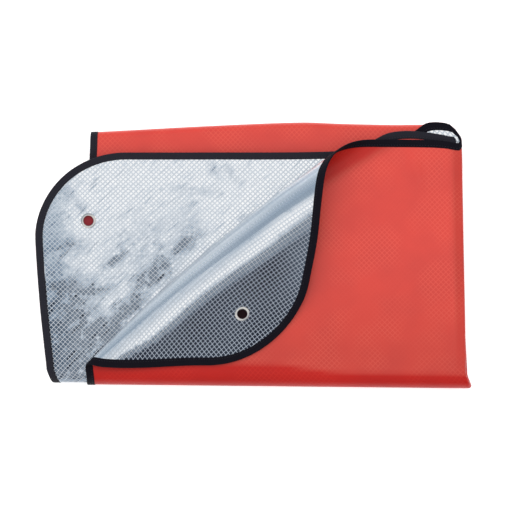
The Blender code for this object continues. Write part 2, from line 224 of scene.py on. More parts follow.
def set_measure(piece: bpy.types.Object, name: str, values: Sequence[float]) -> None:
    """Gives each vertex of a piece a number, for its finish to read.

    Args:
        piece: the piece.
        name: the name that the finish knows the numbers by.
        values: a number for each vertex.
    """
    attribute = piece.data.attributes.new(name, "FLOAT", "POINT")
    attribute.data.foreach_set("value", values)


# The fold map


@dataclass(frozen=True)
class Curve:
    """A smooth curve through (place, height) points, whose heights are in a unit of its own."""

    points: tuple[tuple[float, float], ...]
    unit: float = MM

    def __call__(self, at: float) -> float:
        """Gives the height at one place.

        Args:
            at: the place.

        Returns:
            The height, times the unit.
        """
        points = self.points
        if at <= points[0][0]:
            return points[0][1] * self.unit
        if at >= points[-1][0]:
            return points[-1][1] * self.unit
        i = bisect_right(points, (at, math.inf)) - 1
        slopes = []
        for k in (i, i + 1):
            before = points[max(k - 1, 0)]
            after = points[min(k + 1, len(points) - 1)]
            slopes.append((after[1] - before[1]) / (after[0] - before[0]))
        (x0, y0), (x1, y1) = points[i], points[i + 1]
        h = x1 - x0
        t = (at - x0) / h
        risen = t * t * (3 - 2 * t)
        bend = t * (1 - t) * (slopes[0] * (1 - t) - slopes[1] * t)
        return (lerp(y0, y1, risen) + bend * h) * self.unit


@dataclass(frozen=True)
class Turn:
    """A half turn that joins two levels of a stack.

    Levels count layer pitches down from the top of the stack. The side is the one that the turn
    bulges to, and outside says whether the face at plus offset is outside the bend.
    """

    from_level: int
    to_level: int
    side: int
    outside: int

    def radius(self, pitch: float) -> float:
        """Gives the radius of the turn's middle surface."""
        return abs(self.to_level - self.from_level) / 2 * pitch


@dataclass
class FoldPath:
    """Straight runs, in millimetres, joined by half turns, along one way of the flat cloth."""

    run_lengths: tuple[float, ...]
    turns: tuple[Turn, ...]
    levels: tuple[int, ...]
    pitch: float = 2.6 * MM
    lengths: list[float] = field(init=False)
    total: float = field(init=False)

    def __post_init__(self) -> None:
        """Works out the flat length of each run and turn."""
        self.lengths = []
        for i, run in enumerate(self.run_lengths):
            self.lengths.append(run * MM)
            if i < len(self.turns):
                self.lengths.append(math.pi * self.turns[i].radius(self.pitch))
        self.total = sum(self.lengths)

    def station(self, flat: float) -> float:
        """Gives a flat position's station: the index of its run or turn, plus its share.

        Args:
            flat: the flat position.

        Returns:
            The station.
        """
        i = 0
        while flat >= self.lengths[i] and i < len(self.lengths) - 1:
            flat -= self.lengths[i]
            i += 1
        return i + flat / self.lengths[i]

    def index(self, station: float) -> int:
        """Gives the index of a station's run or turn: runs are even and turns are odd."""
        return min(max(int(station), 0), len(self.lengths) - 1)

    def flat(self, station: float) -> float:
        """Gives the flat position of a station."""
        i = self.index(station)
        return sum(self.lengths[:i]) + (station - i) * self.lengths[i]

    def place(self, station: float, offset: float) -> tuple[float, float]:
        """Places a point in the stack.

        Args:
            station: the point's station.
            offset: how far it lies from the middle surface.

        Returns:
            How far past its fold line it lies, and its height.
        """
        i = self.index(station)
        if i % 2 == 0:
            face = 1 if i % 4 == 0 else -1
            return 0.0, face * offset - self.levels[i // 2] * self.pitch
        turn = self.turns[i // 2]
        angle = math.pi * (station - i)
        radius = turn.radius(self.pitch) + turn.outside * offset
        centre = -(turn.from_level + turn.to_level) / 2 * self.pitch
        start = 1 if turn.from_level < turn.to_level else -1
        return turn.side * radius * math.sin(angle), centre + start * radius * math.cos(angle)


@dataclass
class CornerRoll:
    """The turned-back corner of the top leaf: a bend that slackens as it comes over the top."""

    begin: Vector = field(default_factory=lambda: Vector((-226.3 * MM, -148.1 * MM)))
    length: float = 433.0 * MM
    angle: float = math.radians(40.6)
    bow: float = 10.7 * MM
    arc_at_start: float = 28.0 * MM
    arc_growth: float = 0.235
    turn: float = math.radians(196.0)
    samples: int = 240
    # The turned-back cloth comes softly to rest at this height above the leaf, which it no longer
    # feels from this many softnesses above
    rest_height: float = 2.6 * MM
    rest_softness: float = 2.0 * MM
    free_gap: float = 20.0

    def __post_init__(self) -> None:
        """Works out the bend's profile for a bend one unit long."""
        self.along = Vector((math.cos(self.angle), math.sin(self.angle)))
        self.out = Vector((-self.along.y, self.along.x))
        self.profile = [(0.0, 0.0, 0.0)]
        x = z = 0.0
        for k in range(self.samples):
            turned = self.turned((k + 0.5) / self.samples)
            x += math.cos(turned) / self.samples
            z += math.sin(turned) / self.samples
            self.profile.append((x, z, self.turned((k + 1) / self.samples)))
        self.reach = max(step[0] for step in self.profile)

    def turned(self, t: float) -> float:
        """Gives the angle that the cloth has turned through at a share t of the bend."""
        return self.turn * (2 * t - t * t)

    def arc(self, a: float) -> float:
        """Gives the length of cloth in the bend, at a place along the line."""
        return self.arc_at_start + self.arc_growth * a

    def start(self, a: float) -> float:
        """Gives how far outside the straight line the cloth starts to bend."""
        bow = self.bow * (1 - (2 * a / self.length - 1) ** 2)
        return bow - self.reach * self.arc(a)

    def line_point(self, a: float, t: float) -> Vector:
        """Gives the flat point at a place along the line and a share t of the bend."""
        return self.begin + self.along * a + self.out * (self.start(a) + t * self.arc(a))

    def share(self, x: float, y: float) -> tuple[float, float]:
        """Gives the place along the line and the share of the bend of a point of the flat leaf.

        Args:
            x: X before the blanket is centred.
            y: Y likewise.

        Returns:
            The place, in metres, and the share.
        """
        from_begin = Vector((x, y)) - self.begin
        a = from_begin.dot(self.along)
        return a, (from_begin.dot(self.out) - self.start(a)) / self.arc(a)

    def section(self, t: float) -> tuple[float, ...]:
        """Gives reach, height and angle after a share t of the bend, for a bend one unit long.

        Args:
            t: the share of the bend.

        Returns:
            The reach, the height and the angle.
        """
        if t >= 1:
            x, z, turned = self.profile[-1]
            return x + (t - 1) * math.cos(turned), z + (t - 1) * math.sin(turned), turned
        k = min(int(t * self.samples), self.samples - 1)
        part = t * self.samples - k
        return tuple(lerp(a, b, part) for a, b in zip(self.profile[k], self.profile[k + 1]))

    def rolled(self, point: Vector, level: float) -> Vector:
        """Rolls a point of the flat top leaf.

        Args:
            point: the point before the corner is rolled.
            level: the height of the leaf's middle surface.

        Returns:
            The point on the rolled corner.
        """
        a, t = self.share(point.x, point.y)
        if t <= 0:
            return point
        arc = self.arc(a)
        reach, height, turned = self.section(t)
        reach *= arc
        height *= arc
        if turned > math.pi / 2:
            gap = (height - self.rest_height) / self.rest_softness
            if gap < self.free_gap:
                slope = 1 / (1 + math.exp(-gap))
                height = self.rest_height + self.rest_softness * math.log1p(math.exp(gap))
                turned = math.pi + (turned - math.pi) * slope
        offset = point.z - level
        reach -= offset * math.sin(turned)
        height += offset * math.cos(turned)
        flat = self.begin + self.along * a + self.out * (self.start(a) + reach)
        return Vector((flat.x, flat.y, level + height))


class Leaf(Enum):
    """The leaves whose faces lie open on top of the blanket, by number along the sheet."""

    TOP = 0
    UNDER = 3


@dataclass(frozen=True)
class Crease:
    """A soft ridge or trough on one leaf, between two points of the folded top, in millimetres."""

    leaf: Leaf
    begin: tuple[float, float]
    end: tuple[float, float]
    width: float
    height: float

    def at(self, x: float, y: float) -> float:
        """Gives the crease's height at a point, in metres.

        Args:
            x: X before the blanket is centred.
            y: Y likewise.

        Returns:
            The height.
        """
        here = Vector((x, y)) / MM
        begin, end = Vector(self.begin), Vector(self.end)
        line = end - begin
        t = min(max((here - begin).dot(line) / line.length_squared, 0.0), 1.0)
        away = (here - begin - line * t).length / self.width
        return self.height * MM * bell(away)


@dataclass(frozen=True)
class DarkReflectionPatch:
    """A patch of painted dark reflection on the silver leaf at the left, where the crumpled film
    mirrors darker parts of the studio.

    Its centre and radii are in millimetres, and its angle is in degrees.
    """

    centre: tuple[float, float]
    radii: tuple[float, float]
    angle: float
    strength: float

    def at(self, x: float, y: float) -> float:
        """Gives the patch's strength at a point.

        Args:
            x: X before the blanket is centred.
            y: Y likewise.

        Returns:
            The strength.
        """
        away = Vector((x / MM - self.centre[0], y / MM - self.centre[1]))
        away.rotate(Matrix.Rotation(-math.radians(self.angle), 2))
        return self.strength * bell(math.hypot(away.x / self.radii[0], away.y / self.radii[1]))


@dataclass
class Folds:
    """The way from the flat sheet to the folded blanket, with the sheet's own relief."""

    leaves: FoldPath = field(
        default_factory=lambda: FoldPath(
            (522.0, 531.0, 532.0, 587.0),
            (Turn(0, 3, 1, 1), Turn(3, 2, -1, 1), Turn(2, 1, 1, -1)),
            (0, 3, 2, 1),
        )
    )
    panels: FoldPath = field(
        default_factory=lambda: FoldPath(
            (322.0, 336.0, 330.0, 268.0),
            (Turn(0, 15, -1, 1), Turn(15, 8, 1, 1), Turn(8, 7, -1, -1)),
            (0, 15, 8, 7),
        )
    )
    roll: CornerRoll = field(default_factory=CornerRoll)
    corner_radius: float = 127.0 * MM
    # The thickness of the frame's cloth, which its back fold reaches out by
    solid_thickness: float = 1.0 * MM
    # Where the frame's origin lies before the blanket is centred on it
    foot: Vector = field(
        default_factory=lambda: Vector((1.163647 * MM, 0.588708 * MM, -39.500002 * MM))
    )
    # The corner of the top leaf that a plain fold would give
    top_corner: tuple[float, float] = (-232.0 * MM, 161.0 * MM)
    # By station across the width, X of the top leaf's free end, of the three folds along the
    # length, and of the last leaf's free end, in millimetres
    x_lines: tuple[tuple[float, ...], ...] = (
        (-0.08, -227.3, 280.5, -250.0, 276.0, -303.3),
        (0.00, -227.3, 287.6, -250.0, 282.0, -303.4),
        (0.20, -227.5, 289.4, -250.0, 283.8, -303.5),
        (0.40, -229.2, 290.5, -250.0, 285.0, -303.4),
        (0.70, -236.7, 292.3, -250.0, 287.0, -296.8),
        (0.88, -237.0, 293.2, -250.0, 287.9, -291.0),
        (1.00, -232.0, 293.8, -250.0, 288.5, -287.0),
        (1.50, -230.0, 302.0, -246.0, 295.0, -278.0),
        (2.00, -226.0, 297.0, -238.0, 291.0, -270.0),
        (3.00, -226.0, 280.0, -212.0, 274.0, -213.0),
        (4.00, -226.8, 279.0, -212.0, 273.0, -212.0),
        (4.14, -228.5, 281.0, -214.0, 275.0, -215.0),
        (5.00, -236.0, 288.0, -226.0, 282.0, -226.0),
        (6.00, -236.0, 288.0, -228.0, 282.0, -232.0),
        (7.00, -230.0, 280.0, -236.0, 274.0, -250.0),
    )
    # Y of the open edge by station along the length, and of the back fold by X
    open_edge: Curve = Curve(
        (
            (0.000, 167.5),
            (0.120, 167.8),
            (0.240, 169.9),
            (0.360, 169.4),
            (0.480, 163.0),
            (0.600, 158.4),
            (0.720, 161.0),
            (0.780, 161.0),
            (0.920, 160.3),
            (0.965, 158.8),
            (1.000, 156.0),
            (1.500, 163.0),
            (2.000, 176.0),
            (2.010, 182.5),
            (2.033, 185.5),
            (2.058, 185.6),
            (2.075, 183.6),
            (2.107, 173.5),
            (2.150, 161.0),
            (2.250, 147.0),
            (2.400, 130.0),
            (3.000, 104.0),
            (4.000, 100.0),
            (4.594, 128.0),
            (4.725, 147.0),
            (4.775, 156.5),
            (4.798, 163.0),
            (4.822, 169.0),
            (4.850, 172.2),
            (4.888, 173.3),
            (4.930, 171.4),
            (4.970, 168.0),
            (5.000, 165.0),
            (6.000, 160.0),
            (6.100, 156.0),
            (6.210, 149.0),
            (6.310, 144.0),
            (6.600, 143.0),
            (7.000, 143.0),
        )
    )
    back_fold: Curve = Curve(
        (
            (-305.0, 170.0),
            (-219.0, 174.0),
            (-60.0, 182.5),
            (67.0, 187.4),
            (124.0, 185.6),
            (198.0, 184.0),
            (242.0, 184.2),
            (305.0, 181.0),
        )
    )
    # Y of the hidden edge, and of the front folds
    closed_edge_y: float = 112.0 * MM
    front_turn_y: float = -162.9 * MM
    front_turn_slope: float = -0.0107
    inner_turn_setback: float = 6.0 * MM
    # The left end of the stack lifts a little, and the last leaf hangs past it
    rim_lift: float = 0.8 * MM
    rim_lift_start: float = -150.0 * MM
    rim_lift_run: float = 60.0 * MM
    droop_depth: float = 14.0 * MM
    droop_start: float = -247.0 * MM
    droop_run: float = 56.0 * MM
    droop_power: float = 1.7
    creases: tuple[Crease, ...] = (
        # The top leaf: a ridge beside the right fold, kinks below its edge, shallow swells
        Crease(Leaf.TOP, (277.0, 110.0), (281.0, -150.0), 3.5, 1.0),
        Crease(Leaf.TOP, (240.0, 132.0), (244.0, 108.0), 5.0, -1.3),
        Crease(Leaf.TOP, (223.0, 134.0), (235.0, 98.0), 6.0, 2.0),
        Crease(Leaf.TOP, (225.0, 96.0), (231.0, 70.0), 5.0, 0.4),
        Crease(Leaf.TOP, (150.0, 92.0), (255.0, 60.0), 16.0, 0.6),
        Crease(Leaf.TOP, (110.0, -10.0), (250.0, -40.0), 22.0, -0.6),
        Crease(Leaf.TOP, (60.0, -120.0), (270.0, -128.0), 15.0, 0.5),
        # The silver leaf at the left: crumples that run with the turned-back corner
        Crease(Leaf.UNDER, (-103.0, 94.0), (-78.0, 86.0), 3.0, 0.5),
        Crease(Leaf.UNDER, (-78.0, 86.0), (-46.0, 61.0), 3.5, -0.5),
        Crease(Leaf.UNDER, (-58.0, 126.0), (-50.0, 113.0), 2.5, -0.5),
        Crease(Leaf.UNDER, (-148.0, 41.0), (-126.0, 56.0), 3.5, -0.6),
        Crease(Leaf.UNDER, (-207.0, -8.0), (-139.0, 30.0), 5.0, 0.6),
        Crease(Leaf.UNDER, (-120.0, -3.0), (-70.0, 24.0), 5.0, -0.6),
        Crease(Leaf.UNDER, (-172.0, -52.0), (-104.0, -34.0), 6.0, -0.7),
        Crease(Leaf.UNDER, (-230.0, -38.0), (-186.0, -52.0), 6.0, 0.7),
        Crease(Leaf.UNDER, (-262.0, 98.0), (-236.0, 68.0), 3.0, -0.5),
        Crease(Leaf.UNDER, (-270.0, -10.0), (-200.0, -30.0), 8.0, -0.6),
    )

    def __post_init__(self) -> None:
        """Works out the fold lines' curves."""
        columns = list(zip(*self.x_lines))
        lines = [Curve(tuple(zip(columns[0], column))) for column in columns[1:]]
        self.leaf_ends = tuple(zip(lines, lines[1:]))

    def x_position(self, leaf_station: float, panel_station: float, along: float) -> float:
        """Gives X of a point.

        Args:
            leaf_station: its station along the length.
            panel_station: its station across the width.
            along: how far past its fold line it lies.

        Returns:
            X before the blanket is centred.
        """
        i = self.leaves.index(leaf_station)
        start, end = self.leaf_ends[i // 2]
        if i % 2:
            return end(panel_station) + along
        return lerp(start(panel_station), end(panel_station), leaf_station - i)

    def turn_lines(self, x: float) -> tuple[float, float, float]:
        """Gives Y of the lines at which the front, back and inner turns begin, at one X.

        Args:
            x: X before the blanket is centred.

        Returns:
            The three values of Y.
        """
        front = self.front_turn_y + self.front_turn_slope * x
        reach = self.panels.turns[1].radius(self.panels.pitch) + self.solid_thickness / 2
        return front, self.back_fold(x / MM) - reach, front + self.inner_turn_setback

    def y_position(self, edge: float, panel_station: float, x: float, along: float) -> float:
        """Gives Y of a point.

        Args:
            edge: Y of the open edge there.
            panel_station: its station across the width.
            x: its X.
            along: how far past its fold line it lies.

        Returns:
            Y before the blanket is centred.
        """
        i = self.panels.index(panel_station)
        turns = self.turn_lines(x)
        if i % 2:
            return turns[i // 2] + along
        lines = (edge, *turns, self.closed_edge_y)
        return lerp(lines[i // 2], lines[i // 2 + 1], panel_station - i)

    def droop(self, leaf_station: float, panel_station: float, x: float) -> float:
        """Gives how far the overhang of the top panel's last leaf sinks.

        Args:
            leaf_station: the point's station along the length.
            panel_station: its station across the width.
            x: its X.

        Returns:
            How far it moves along Z, in metres.
        """
        if leaf_station < 6 or panel_station >= 2:
            return 0.0
        reach = max((self.droop_start - x) / self.droop_run, 0.0)
        fade = 1.0 if panel_station < 1 else (1 + math.cos(math.pi * (panel_station - 1))) / 2
        return -self.droop_depth * reach**self.droop_power * fade

    def stacked(self, u: float, v: float, w: float) -> Vector:
        """Gives where a flat point lies once folded both ways, before the corner is rolled.

        Args:
            u: position along the length.
            v: position across the width.
            w: how far it lies from the middle surface.

        Returns:
            The point, before the blanket is centred.
        """
        leaf_station = self.leaves.station(u)
        panel_station = self.panels.station(v)
        along_x, depth = self.leaves.place(leaf_station, w)
        along_y, height = self.panels.place(panel_station, depth)
        edge = self.open_edge(leaf_station)
        past = (edge - self.top_corner[1]) / self.panels.lengths[0]
        lean = -max(past, 0.0) * (1 - panel_station) if panel_station < 1 else 0.0
        x = self.x_position(leaf_station, panel_station + lean, along_x)
        y = self.y_position(edge, panel_station, x, along_y)
        height += self.droop(leaf_station, panel_station, x)
        height += self.rim_lift * smooth_step((self.rim_lift_start - x) / self.rim_lift_run)
        return Vector((x, y, height))

    def folded(self, u: float, v: float, w: float) -> Vector:
        """Gives where a flat point lies in the folded blanket.

        Args:
            u: position along the length.
            v: position across the width.
            w: how far it lies from the middle surface.

        Returns:
            The point in the frame.
        """
        point = self.stacked(u, v, w)
        if self.leaves.station(u) < 1 and self.panels.station(v) < 1:
            point = self.roll.rolled(point, point.z - w)
        return point - self.foot

    def rim_distance(self, u: float, v: float) -> float:
        """Gives how far inside the sheet's rounded rim a flat point lies.

        Args:
            u: position along the length.
            v: position across the width.

        Returns:
            The distance, below 0 outside the rim.
        """
        radius = self.corner_radius
        half = Vector((self.leaves.total / 2, self.panels.total / 2))
        past = Vector((abs(u - half.x) - half.x + radius, abs(v - half.y) - half.y + radius))
        outside = Vector((max(past.x, 0.0), max(past.y, 0.0))).length
        return radius - outside - min(max(past.x, past.y), 0.0)

    def open_leaf(self, u: float, v: float) -> Leaf | None:
        """Gives the open leaf that a flat point belongs to, if any.

        Args:
            u: position along the length.
            v: position across the width.

        Returns:
            The leaf, or None where it is hidden.
        """
        if not 0 <= self.panels.station(v) < 1:
            return None
        station = self.leaves.station(u)
        return Leaf.TOP if station < 1 else Leaf.UNDER if station >= 6 else None

    def nearest_leaf(self, u: float, v: float) -> Leaf | None:
        """Gives the open leaf of a flat point, or that of the front fold nearest to it."""
        return self.open_leaf(u, min(v, self.panels.flat(1) - HAIR))

    def on_roll(self, u: float, v: float) -> tuple[Vector, float, float]:
        """Gives a point before the roll, its place along the roll, and its share of the bend."""
        point = self.stacked(u, v, 0)
        return point, *self.roll.share(point.x, point.y)


@dataclass
class Relief:
    """The sheet's small ups and downs at each flat point."""

    folds: Folds
    eyelets: Sequence[tuple[float, float]]
    # The sheet lies still at a fold and this near to its rim or an eyelet, and comes free over
    # the length of the fade
    rim_still: float = 6.4 * MM
    rim_fade: float = 16.0 * MM
    eyelet_still: float = 11.25 * MM
    eyelet_fade: float = 15.0 * MM
    sway: Unevenness = Unevenness(130.0 * MM, 0.5 * MM, 3.0)
    crumples: tuple[Unevenness, ...] = (
        Unevenness(30.0 * MM, 0.45 * MM, 7.0, 1.8),
        Unevenness(13.5 * MM, 0.27 * MM, 9.0, 1.4),
    )
    # Streaks that run along the roll: centre and width as shares of the bend, and height in mm
    streaks: tuple[tuple[float, float, float], ...] = (
        (0.38, 0.022, 0.35),
        (0.47, 0.014, -0.45),
        (0.56, 0.040, 0.40),
        (0.66, 0.030, -0.20),
    )
    streak_drift: Unevenness = Unevenness(60.0 * MM, 0.02, 4.0)
    ripple: Unevenness = Unevenness(40.0 * MM, 0.25 * MM, 5.0, 0.1)

    def quiet(self, u: float, v: float) -> float:
        """Gives how freely the sheet may move, 0 at the rim, a fold or an eyelet, and 1 away.

        Args:
            u: position along the length.
            v: position across the width.

        Returns:
            The share of its full relief that the sheet has there.
        """
        free = smooth_step((self.folds.rim_distance(u, v) - self.rim_still) / self.rim_fade)
        leaves = self.folds.leaves
        to_side = min(abs(leaves.flat(1) - u), abs(leaves.flat(6) - u))
        for away in (self.folds.panels.flat(1) - v, to_side):
            free *= smooth_step(away / self.rim_fade)
        for eye in self.eyelets:
            away = math.hypot(u - eye[0], v - eye[1])
            free *= smooth_step((away - self.eyelet_still) / self.eyelet_fade)
        return free

    def height(self, u: float, v: float) -> float:
        """Gives how far the sheet stands from its plain fold at a flat point, along w.

        Args:
            u: position along the length.
            v: position across the width.

        Returns:
            The height, in metres.
        """
        leaf = self.folds.open_leaf(u, v)
        if leaf is None:
            return 0.0
        free = self.quiet(u, v)
        if free == 0:
            return 0.0
        point, place, share = self.folds.on_roll(u, v)
        if leaf is Leaf.TOP and share > 0:
            drift = self.streak_drift.at(place, 0.0)
            raised = sum(
                size * MM * bell((share - centre - drift) / width)
                for centre, width, size in self.streaks
            )
            return free * (raised + self.ripple.at(place, share))
        raised = sum(c.at(point.x, point.y) for c in self.folds.creases if c.leaf is leaf)
        raised += self.sway.at(point.x, point.y)
        if leaf is Leaf.TOP:
            return free * raised
        turned = point.to_2d() @ Matrix.Rotation(self.folds.roll.angle, 2)
        return -free * (raised + sum(c.at(turned.x, turned.y) for c in self.crumples))


@dataclass
class SilverState:
    """The state of the silver film at each flat point: how dark its painted reflection is, and how
    crumpled and rough it is.

    Centres, widths and rises are shares of the roll's bend, or metres along the roll.
    """

    folds: Folds
    # Patches of painted dark reflection on the silver leaf at the left
    dark_reflection_patches: tuple[DarkReflectionPatch, ...] = (
        DarkReflectionPatch((-258.0, -110.0), (78.0, 48.0), 0.0, 0.78),
        DarkReflectionPatch((-226.0, -104.0), (32.0, 8.0), -12.0, 0.25),
        DarkReflectionPatch((-268.0, -55.0), (32.0, 52.0), 0.0, 0.32),
        DarkReflectionPatch((-284.0, 0.0), (16.0, 48.0), 0.0, 0.18),
        DarkReflectionPatch((-254.0, 14.0), (20.0, 12.0), 0.0, 0.38),
        DarkReflectionPatch((-247.0, -49.0), (22.0, 16.0), 0.0, 0.35),
        DarkReflectionPatch((-215.0, -49.0), (18.0, 8.0), 10.0, 0.55),
        DarkReflectionPatch((-140.0, -31.0), (28.0, 12.0), 27.0, 0.85),
        DarkReflectionPatch((-166.0, -67.0), (22.0, 11.0), 45.0, 0.70),
        DarkReflectionPatch((-182.0, -85.0), (10.0, 14.0), 0.0, 0.45),
        DarkReflectionPatch((-101.0, 10.0), (36.0, 9.0), 35.0, 0.60),
        DarkReflectionPatch((-193.0, -6.0), (24.0, 9.0), 45.0, 0.50),
        DarkReflectionPatch((-143.0, 0.0), (22.0, 12.0), 30.0, 0.25),
        DarkReflectionPatch((-90.0, 36.0), (14.0, 22.0), 0.0, 0.22),
        DarkReflectionPatch((-150.0, 20.0), (66.0, 40.0), 30.0, 0.17),
        DarkReflectionPatch((-83.0, 90.0), (26.0, 6.0), -5.0, 0.30),
        DarkReflectionPatch((-55.0, 121.0), (16.0, 5.0), -55.0, 0.30),
        DarkReflectionPatch((-30.0, 115.0), (16.0, 5.0), -55.0, 0.25),
        DarkReflectionPatch((-247.0, 76.0), (24.0, 5.0), -50.0, 0.34),
        DarkReflectionPatch((-262.0, -168.0), (70.0, 34.0), 0.0, 0.95),
        DarkReflectionPatch((-205.0, -112.0), (26.0, 14.0), 20.0, 0.18),
    )
    # The film of the turned-back corner is painted dark past its ridge, as painted reflection of
    # the dark side of the studio, from this share of the bend on, by place along the roll in
    # millimetres
    flap_dark_from: Curve = Curve(
        (
            (40.0, 1.17),
            (80.0, 1.27),
            (120.0, 1.19),
            (160.0, 1.09),
            (200.0, 1.04),
            (240.0, 1.01),
            (280.0, 0.99),
            (320.0, 0.94),
            (400.0, 0.85),
        ),
        1.0,
    )
    flap_dark_rise: float = 0.24
    flap_painted_dark: float = 2.0
    flap_cloud: Unevenness = Unevenness(45.0 * MM, 0.035, 11.0)
    flap_cloud_rise: float = 0.014
    # Painted highlight: towards the wide end the flap's rim is painted a little less dark, for the
    # light it catches
    flap_painted_highlight: float = 0.075
    flap_highlight_from: float = 230.0 * MM
    flap_highlight_run: float = 120.0 * MM
    flap_highlight_depth: float = 60.0 * MM
    # Over the top of the bend the film is drawn smooth and painted a little dark, as painted
    # reflection, in a band that is widest at the roll's narrow end, and in a finer one below it
    # towards the wide end
    drawn_painted_dark: float = 0.32
    drawn_centre: Curve = Curve(
        ((40.0, 0.75), (120.0, 0.73), (220.0, 0.71), (280.0, 0.66), (330.0, 0.60), (400.0, 0.58)),
        1.0,
    )
    drawn_width: Curve = Curve(((40.0, 0.30), (120.0, 0.17), (200.0, 0.13), (320.0, 0.11)), 1.0)
    lower_painted_dark: tuple[float, float] = (0.10, 0.30)
    lower_centre: float = 0.42
    lower_width: float = 0.045
    lower_from: float = 150.0 * MM
    lower_run: float = 200.0 * MM
    film_roughness: float = 0.16
    drawn_roughness: float = 0.23
    lower_roughness: float = 0.45
    rough_centre: float = 0.40
    rough_width: float = 0.07
    # How crumpled the open leaves and the hidden ones are
    top_crumpled: float = 0.2
    under_crumpled: float = 1.0
    hidden_crumpled: float = 0.5
    # The scrim is pulled flat between these shares of the bend, over these runs
    pulled_from: float = -0.10
    pulled_from_run: float = 0.20
    pulled_to: float = 0.80
    pulled_to_run: float = 0.14

    def painted_dark_reflection(self, u: float, v: float) -> float:
        """Gives how dark the film's painted reflection is at a flat point, above 1 where it is
        painted evenly dark.

        Args:
            u: position along the length.
            v: position across the width.

        Returns:
            How dark the painted reflection is.
        """
        leaf = self.folds.nearest_leaf(u, v)
        if leaf is None or self.folds.panels.station(v) >= 2:
            return 0.0
        point, place, share = self.folds.on_roll(u, v)
        # Painted dark reflection on the silver leaf at the left
        if leaf is Leaf.UNDER:
            return sum(patch.at(point.x, point.y) for patch in self.dark_reflection_patches)
        begin = self.flap_dark_from(place / MM)
        flap = smooth_step((share - begin) / self.flap_dark_rise + 0.5)
        # Painted highlight along the flap's rim at the wide end
        highlight_share = smooth_step((place - self.flap_highlight_from) / self.flap_highlight_run)
        highlight_share *= smooth_step(1 - self.folds.rim_distance(u, v) / self.flap_highlight_depth)
        cloud = max(self.flap_cloud.at(point.x, point.y) + self.flap_cloud_rise, 0.0)
        evenly = self.flap_painted_dark - self.flap_painted_highlight * highlight_share - cloud
        away = (share - self.drawn_centre(place / MM)) / self.drawn_width(place / MM)
        drawn = self.drawn_painted_dark * bell(away)
        lower = lerp(*self.lower_painted_dark, smooth_step((place - self.lower_from) / self.lower_run))
        return flap * evenly + drawn + lower * bell((share - self.lower_centre) / self.lower_width)

    def crumpled(self, u: float, v: float) -> float:
        """Gives how crumpled the film is at a flat point: most on the leaf at the left.

        Args:
            u: position along the length.
            v: position across the width.

        Returns:
            A share from 0 to 1.
        """
        leaf = self.folds.nearest_leaf(u, v)
        if leaf is Leaf.TOP:
            return self.top_crumpled * (1 - self.scrim_fade(u, v))
        return self.under_crumpled if leaf is Leaf.UNDER else self.hidden_crumpled

    def roughness(self, u: float, v: float) -> float:
        """Gives the film's roughness at a flat point: smooth, but softer where it is drawn.

        Args:
            u: position along the length.
            v: position across the width.

        Returns:
            The roughness.
        """
        if self.folds.open_leaf(u, v) is not Leaf.TOP:
            return self.film_roughness
        share = self.folds.on_roll(u, v)[2]
        drawn = lerp(self.film_roughness, self.drawn_roughness, self.scrim_fade(u, v))
        return drawn + self.lower_roughness * bell((share - self.rough_centre) / self.rough_width)

    def scrim_fade(self, u: float, v: float) -> float:
        """Gives how far the scrim is pulled flat at a flat point, 1 over the tightest part of the
        roll.

        Args:
            u: position along the length.
            v: position across the width.

        Returns:
            A share from 0 to 1.
        """
        if self.folds.open_leaf(u, v) is not Leaf.TOP:
            return 0.0
        share = self.folds.on_roll(u, v)[2]
        pulled = smooth_step((share - self.pulled_from) / self.pulled_from_run)
        return pulled * smooth_step((self.pulled_to - share) / self.pulled_to_run)


@dataclass
class RedFoldShade:
    """The painted shade of the red film at each flat point: deeper round its folds and where the
    roll's wide end rises from it.
    """

    folds: Folds
    # Gently before the front fold, and fully round it, which starts sooner at the left
    gentle: float = 0.5
    gentle_reach: float = 190.0 * MM
    front_reach: tuple[float, float] = (4.0 * MM, 16.0 * MM)
    front_run: float = 16.0 * MM
    left_from: float = 250.0 * MM
    left_run: float = 120.0 * MM
    # It ends on the underside, a fifth of the way to the back fold
    under_station: float = 2.2
    under_run: float = 20.0 * MM
    # In a band round the right fold, a little past its start
    side: float = 0.6
    side_station: float = 1.3
    side_reach: float = 19.0 * MM
    side_run: float = 10.0 * MM
    # Painted shade where the wide end of the roll rises from the leaf, before its bend begins
    rising: float = 0.9
    rising_from: float = 350.0 * MM
    rising_run: float = 80.0 * MM
    rising_share: float = 0.15

    def fold_shade(self, u: float, v: float) -> float:
        """Gives how much painted shade the film has, round a fold or where it rises into the roll,
        up to 1.

        Args:
            u: position along the length.
            v: position across the width.

        Returns:
            A share from 0 to 1.
        """
        panels, leaves = self.folds.panels, self.folds.leaves
        front = panels.flat(1) - v
        left = 1 - smooth_step((u - self.left_from) / self.left_run)
        round_front = self.gentle * smooth_step(1 - abs(front) / self.gentle_reach)
        round_front += smooth_step((lerp(*self.front_reach, left) - front) / self.front_run)
        round_front *= smooth_step((panels.flat(self.under_station) - v) / self.under_run)
        aside = abs(u - leaves.flat(self.side_station))
        round_side = self.side * smooth_step((self.side_reach - aside) / self.side_run)
        rising = 0.0
        if self.folds.open_leaf(u, v) is Leaf.TOP:
            _, place, share = self.folds.on_roll(u, v)
            rising = self.rising * smooth_step((place - self.rising_from) / self.rising_run)
            rising *= smooth_step(1 + share / self.rising_share)
        return min(max(round_front, round_side, rising), 1.0)


# Finishes


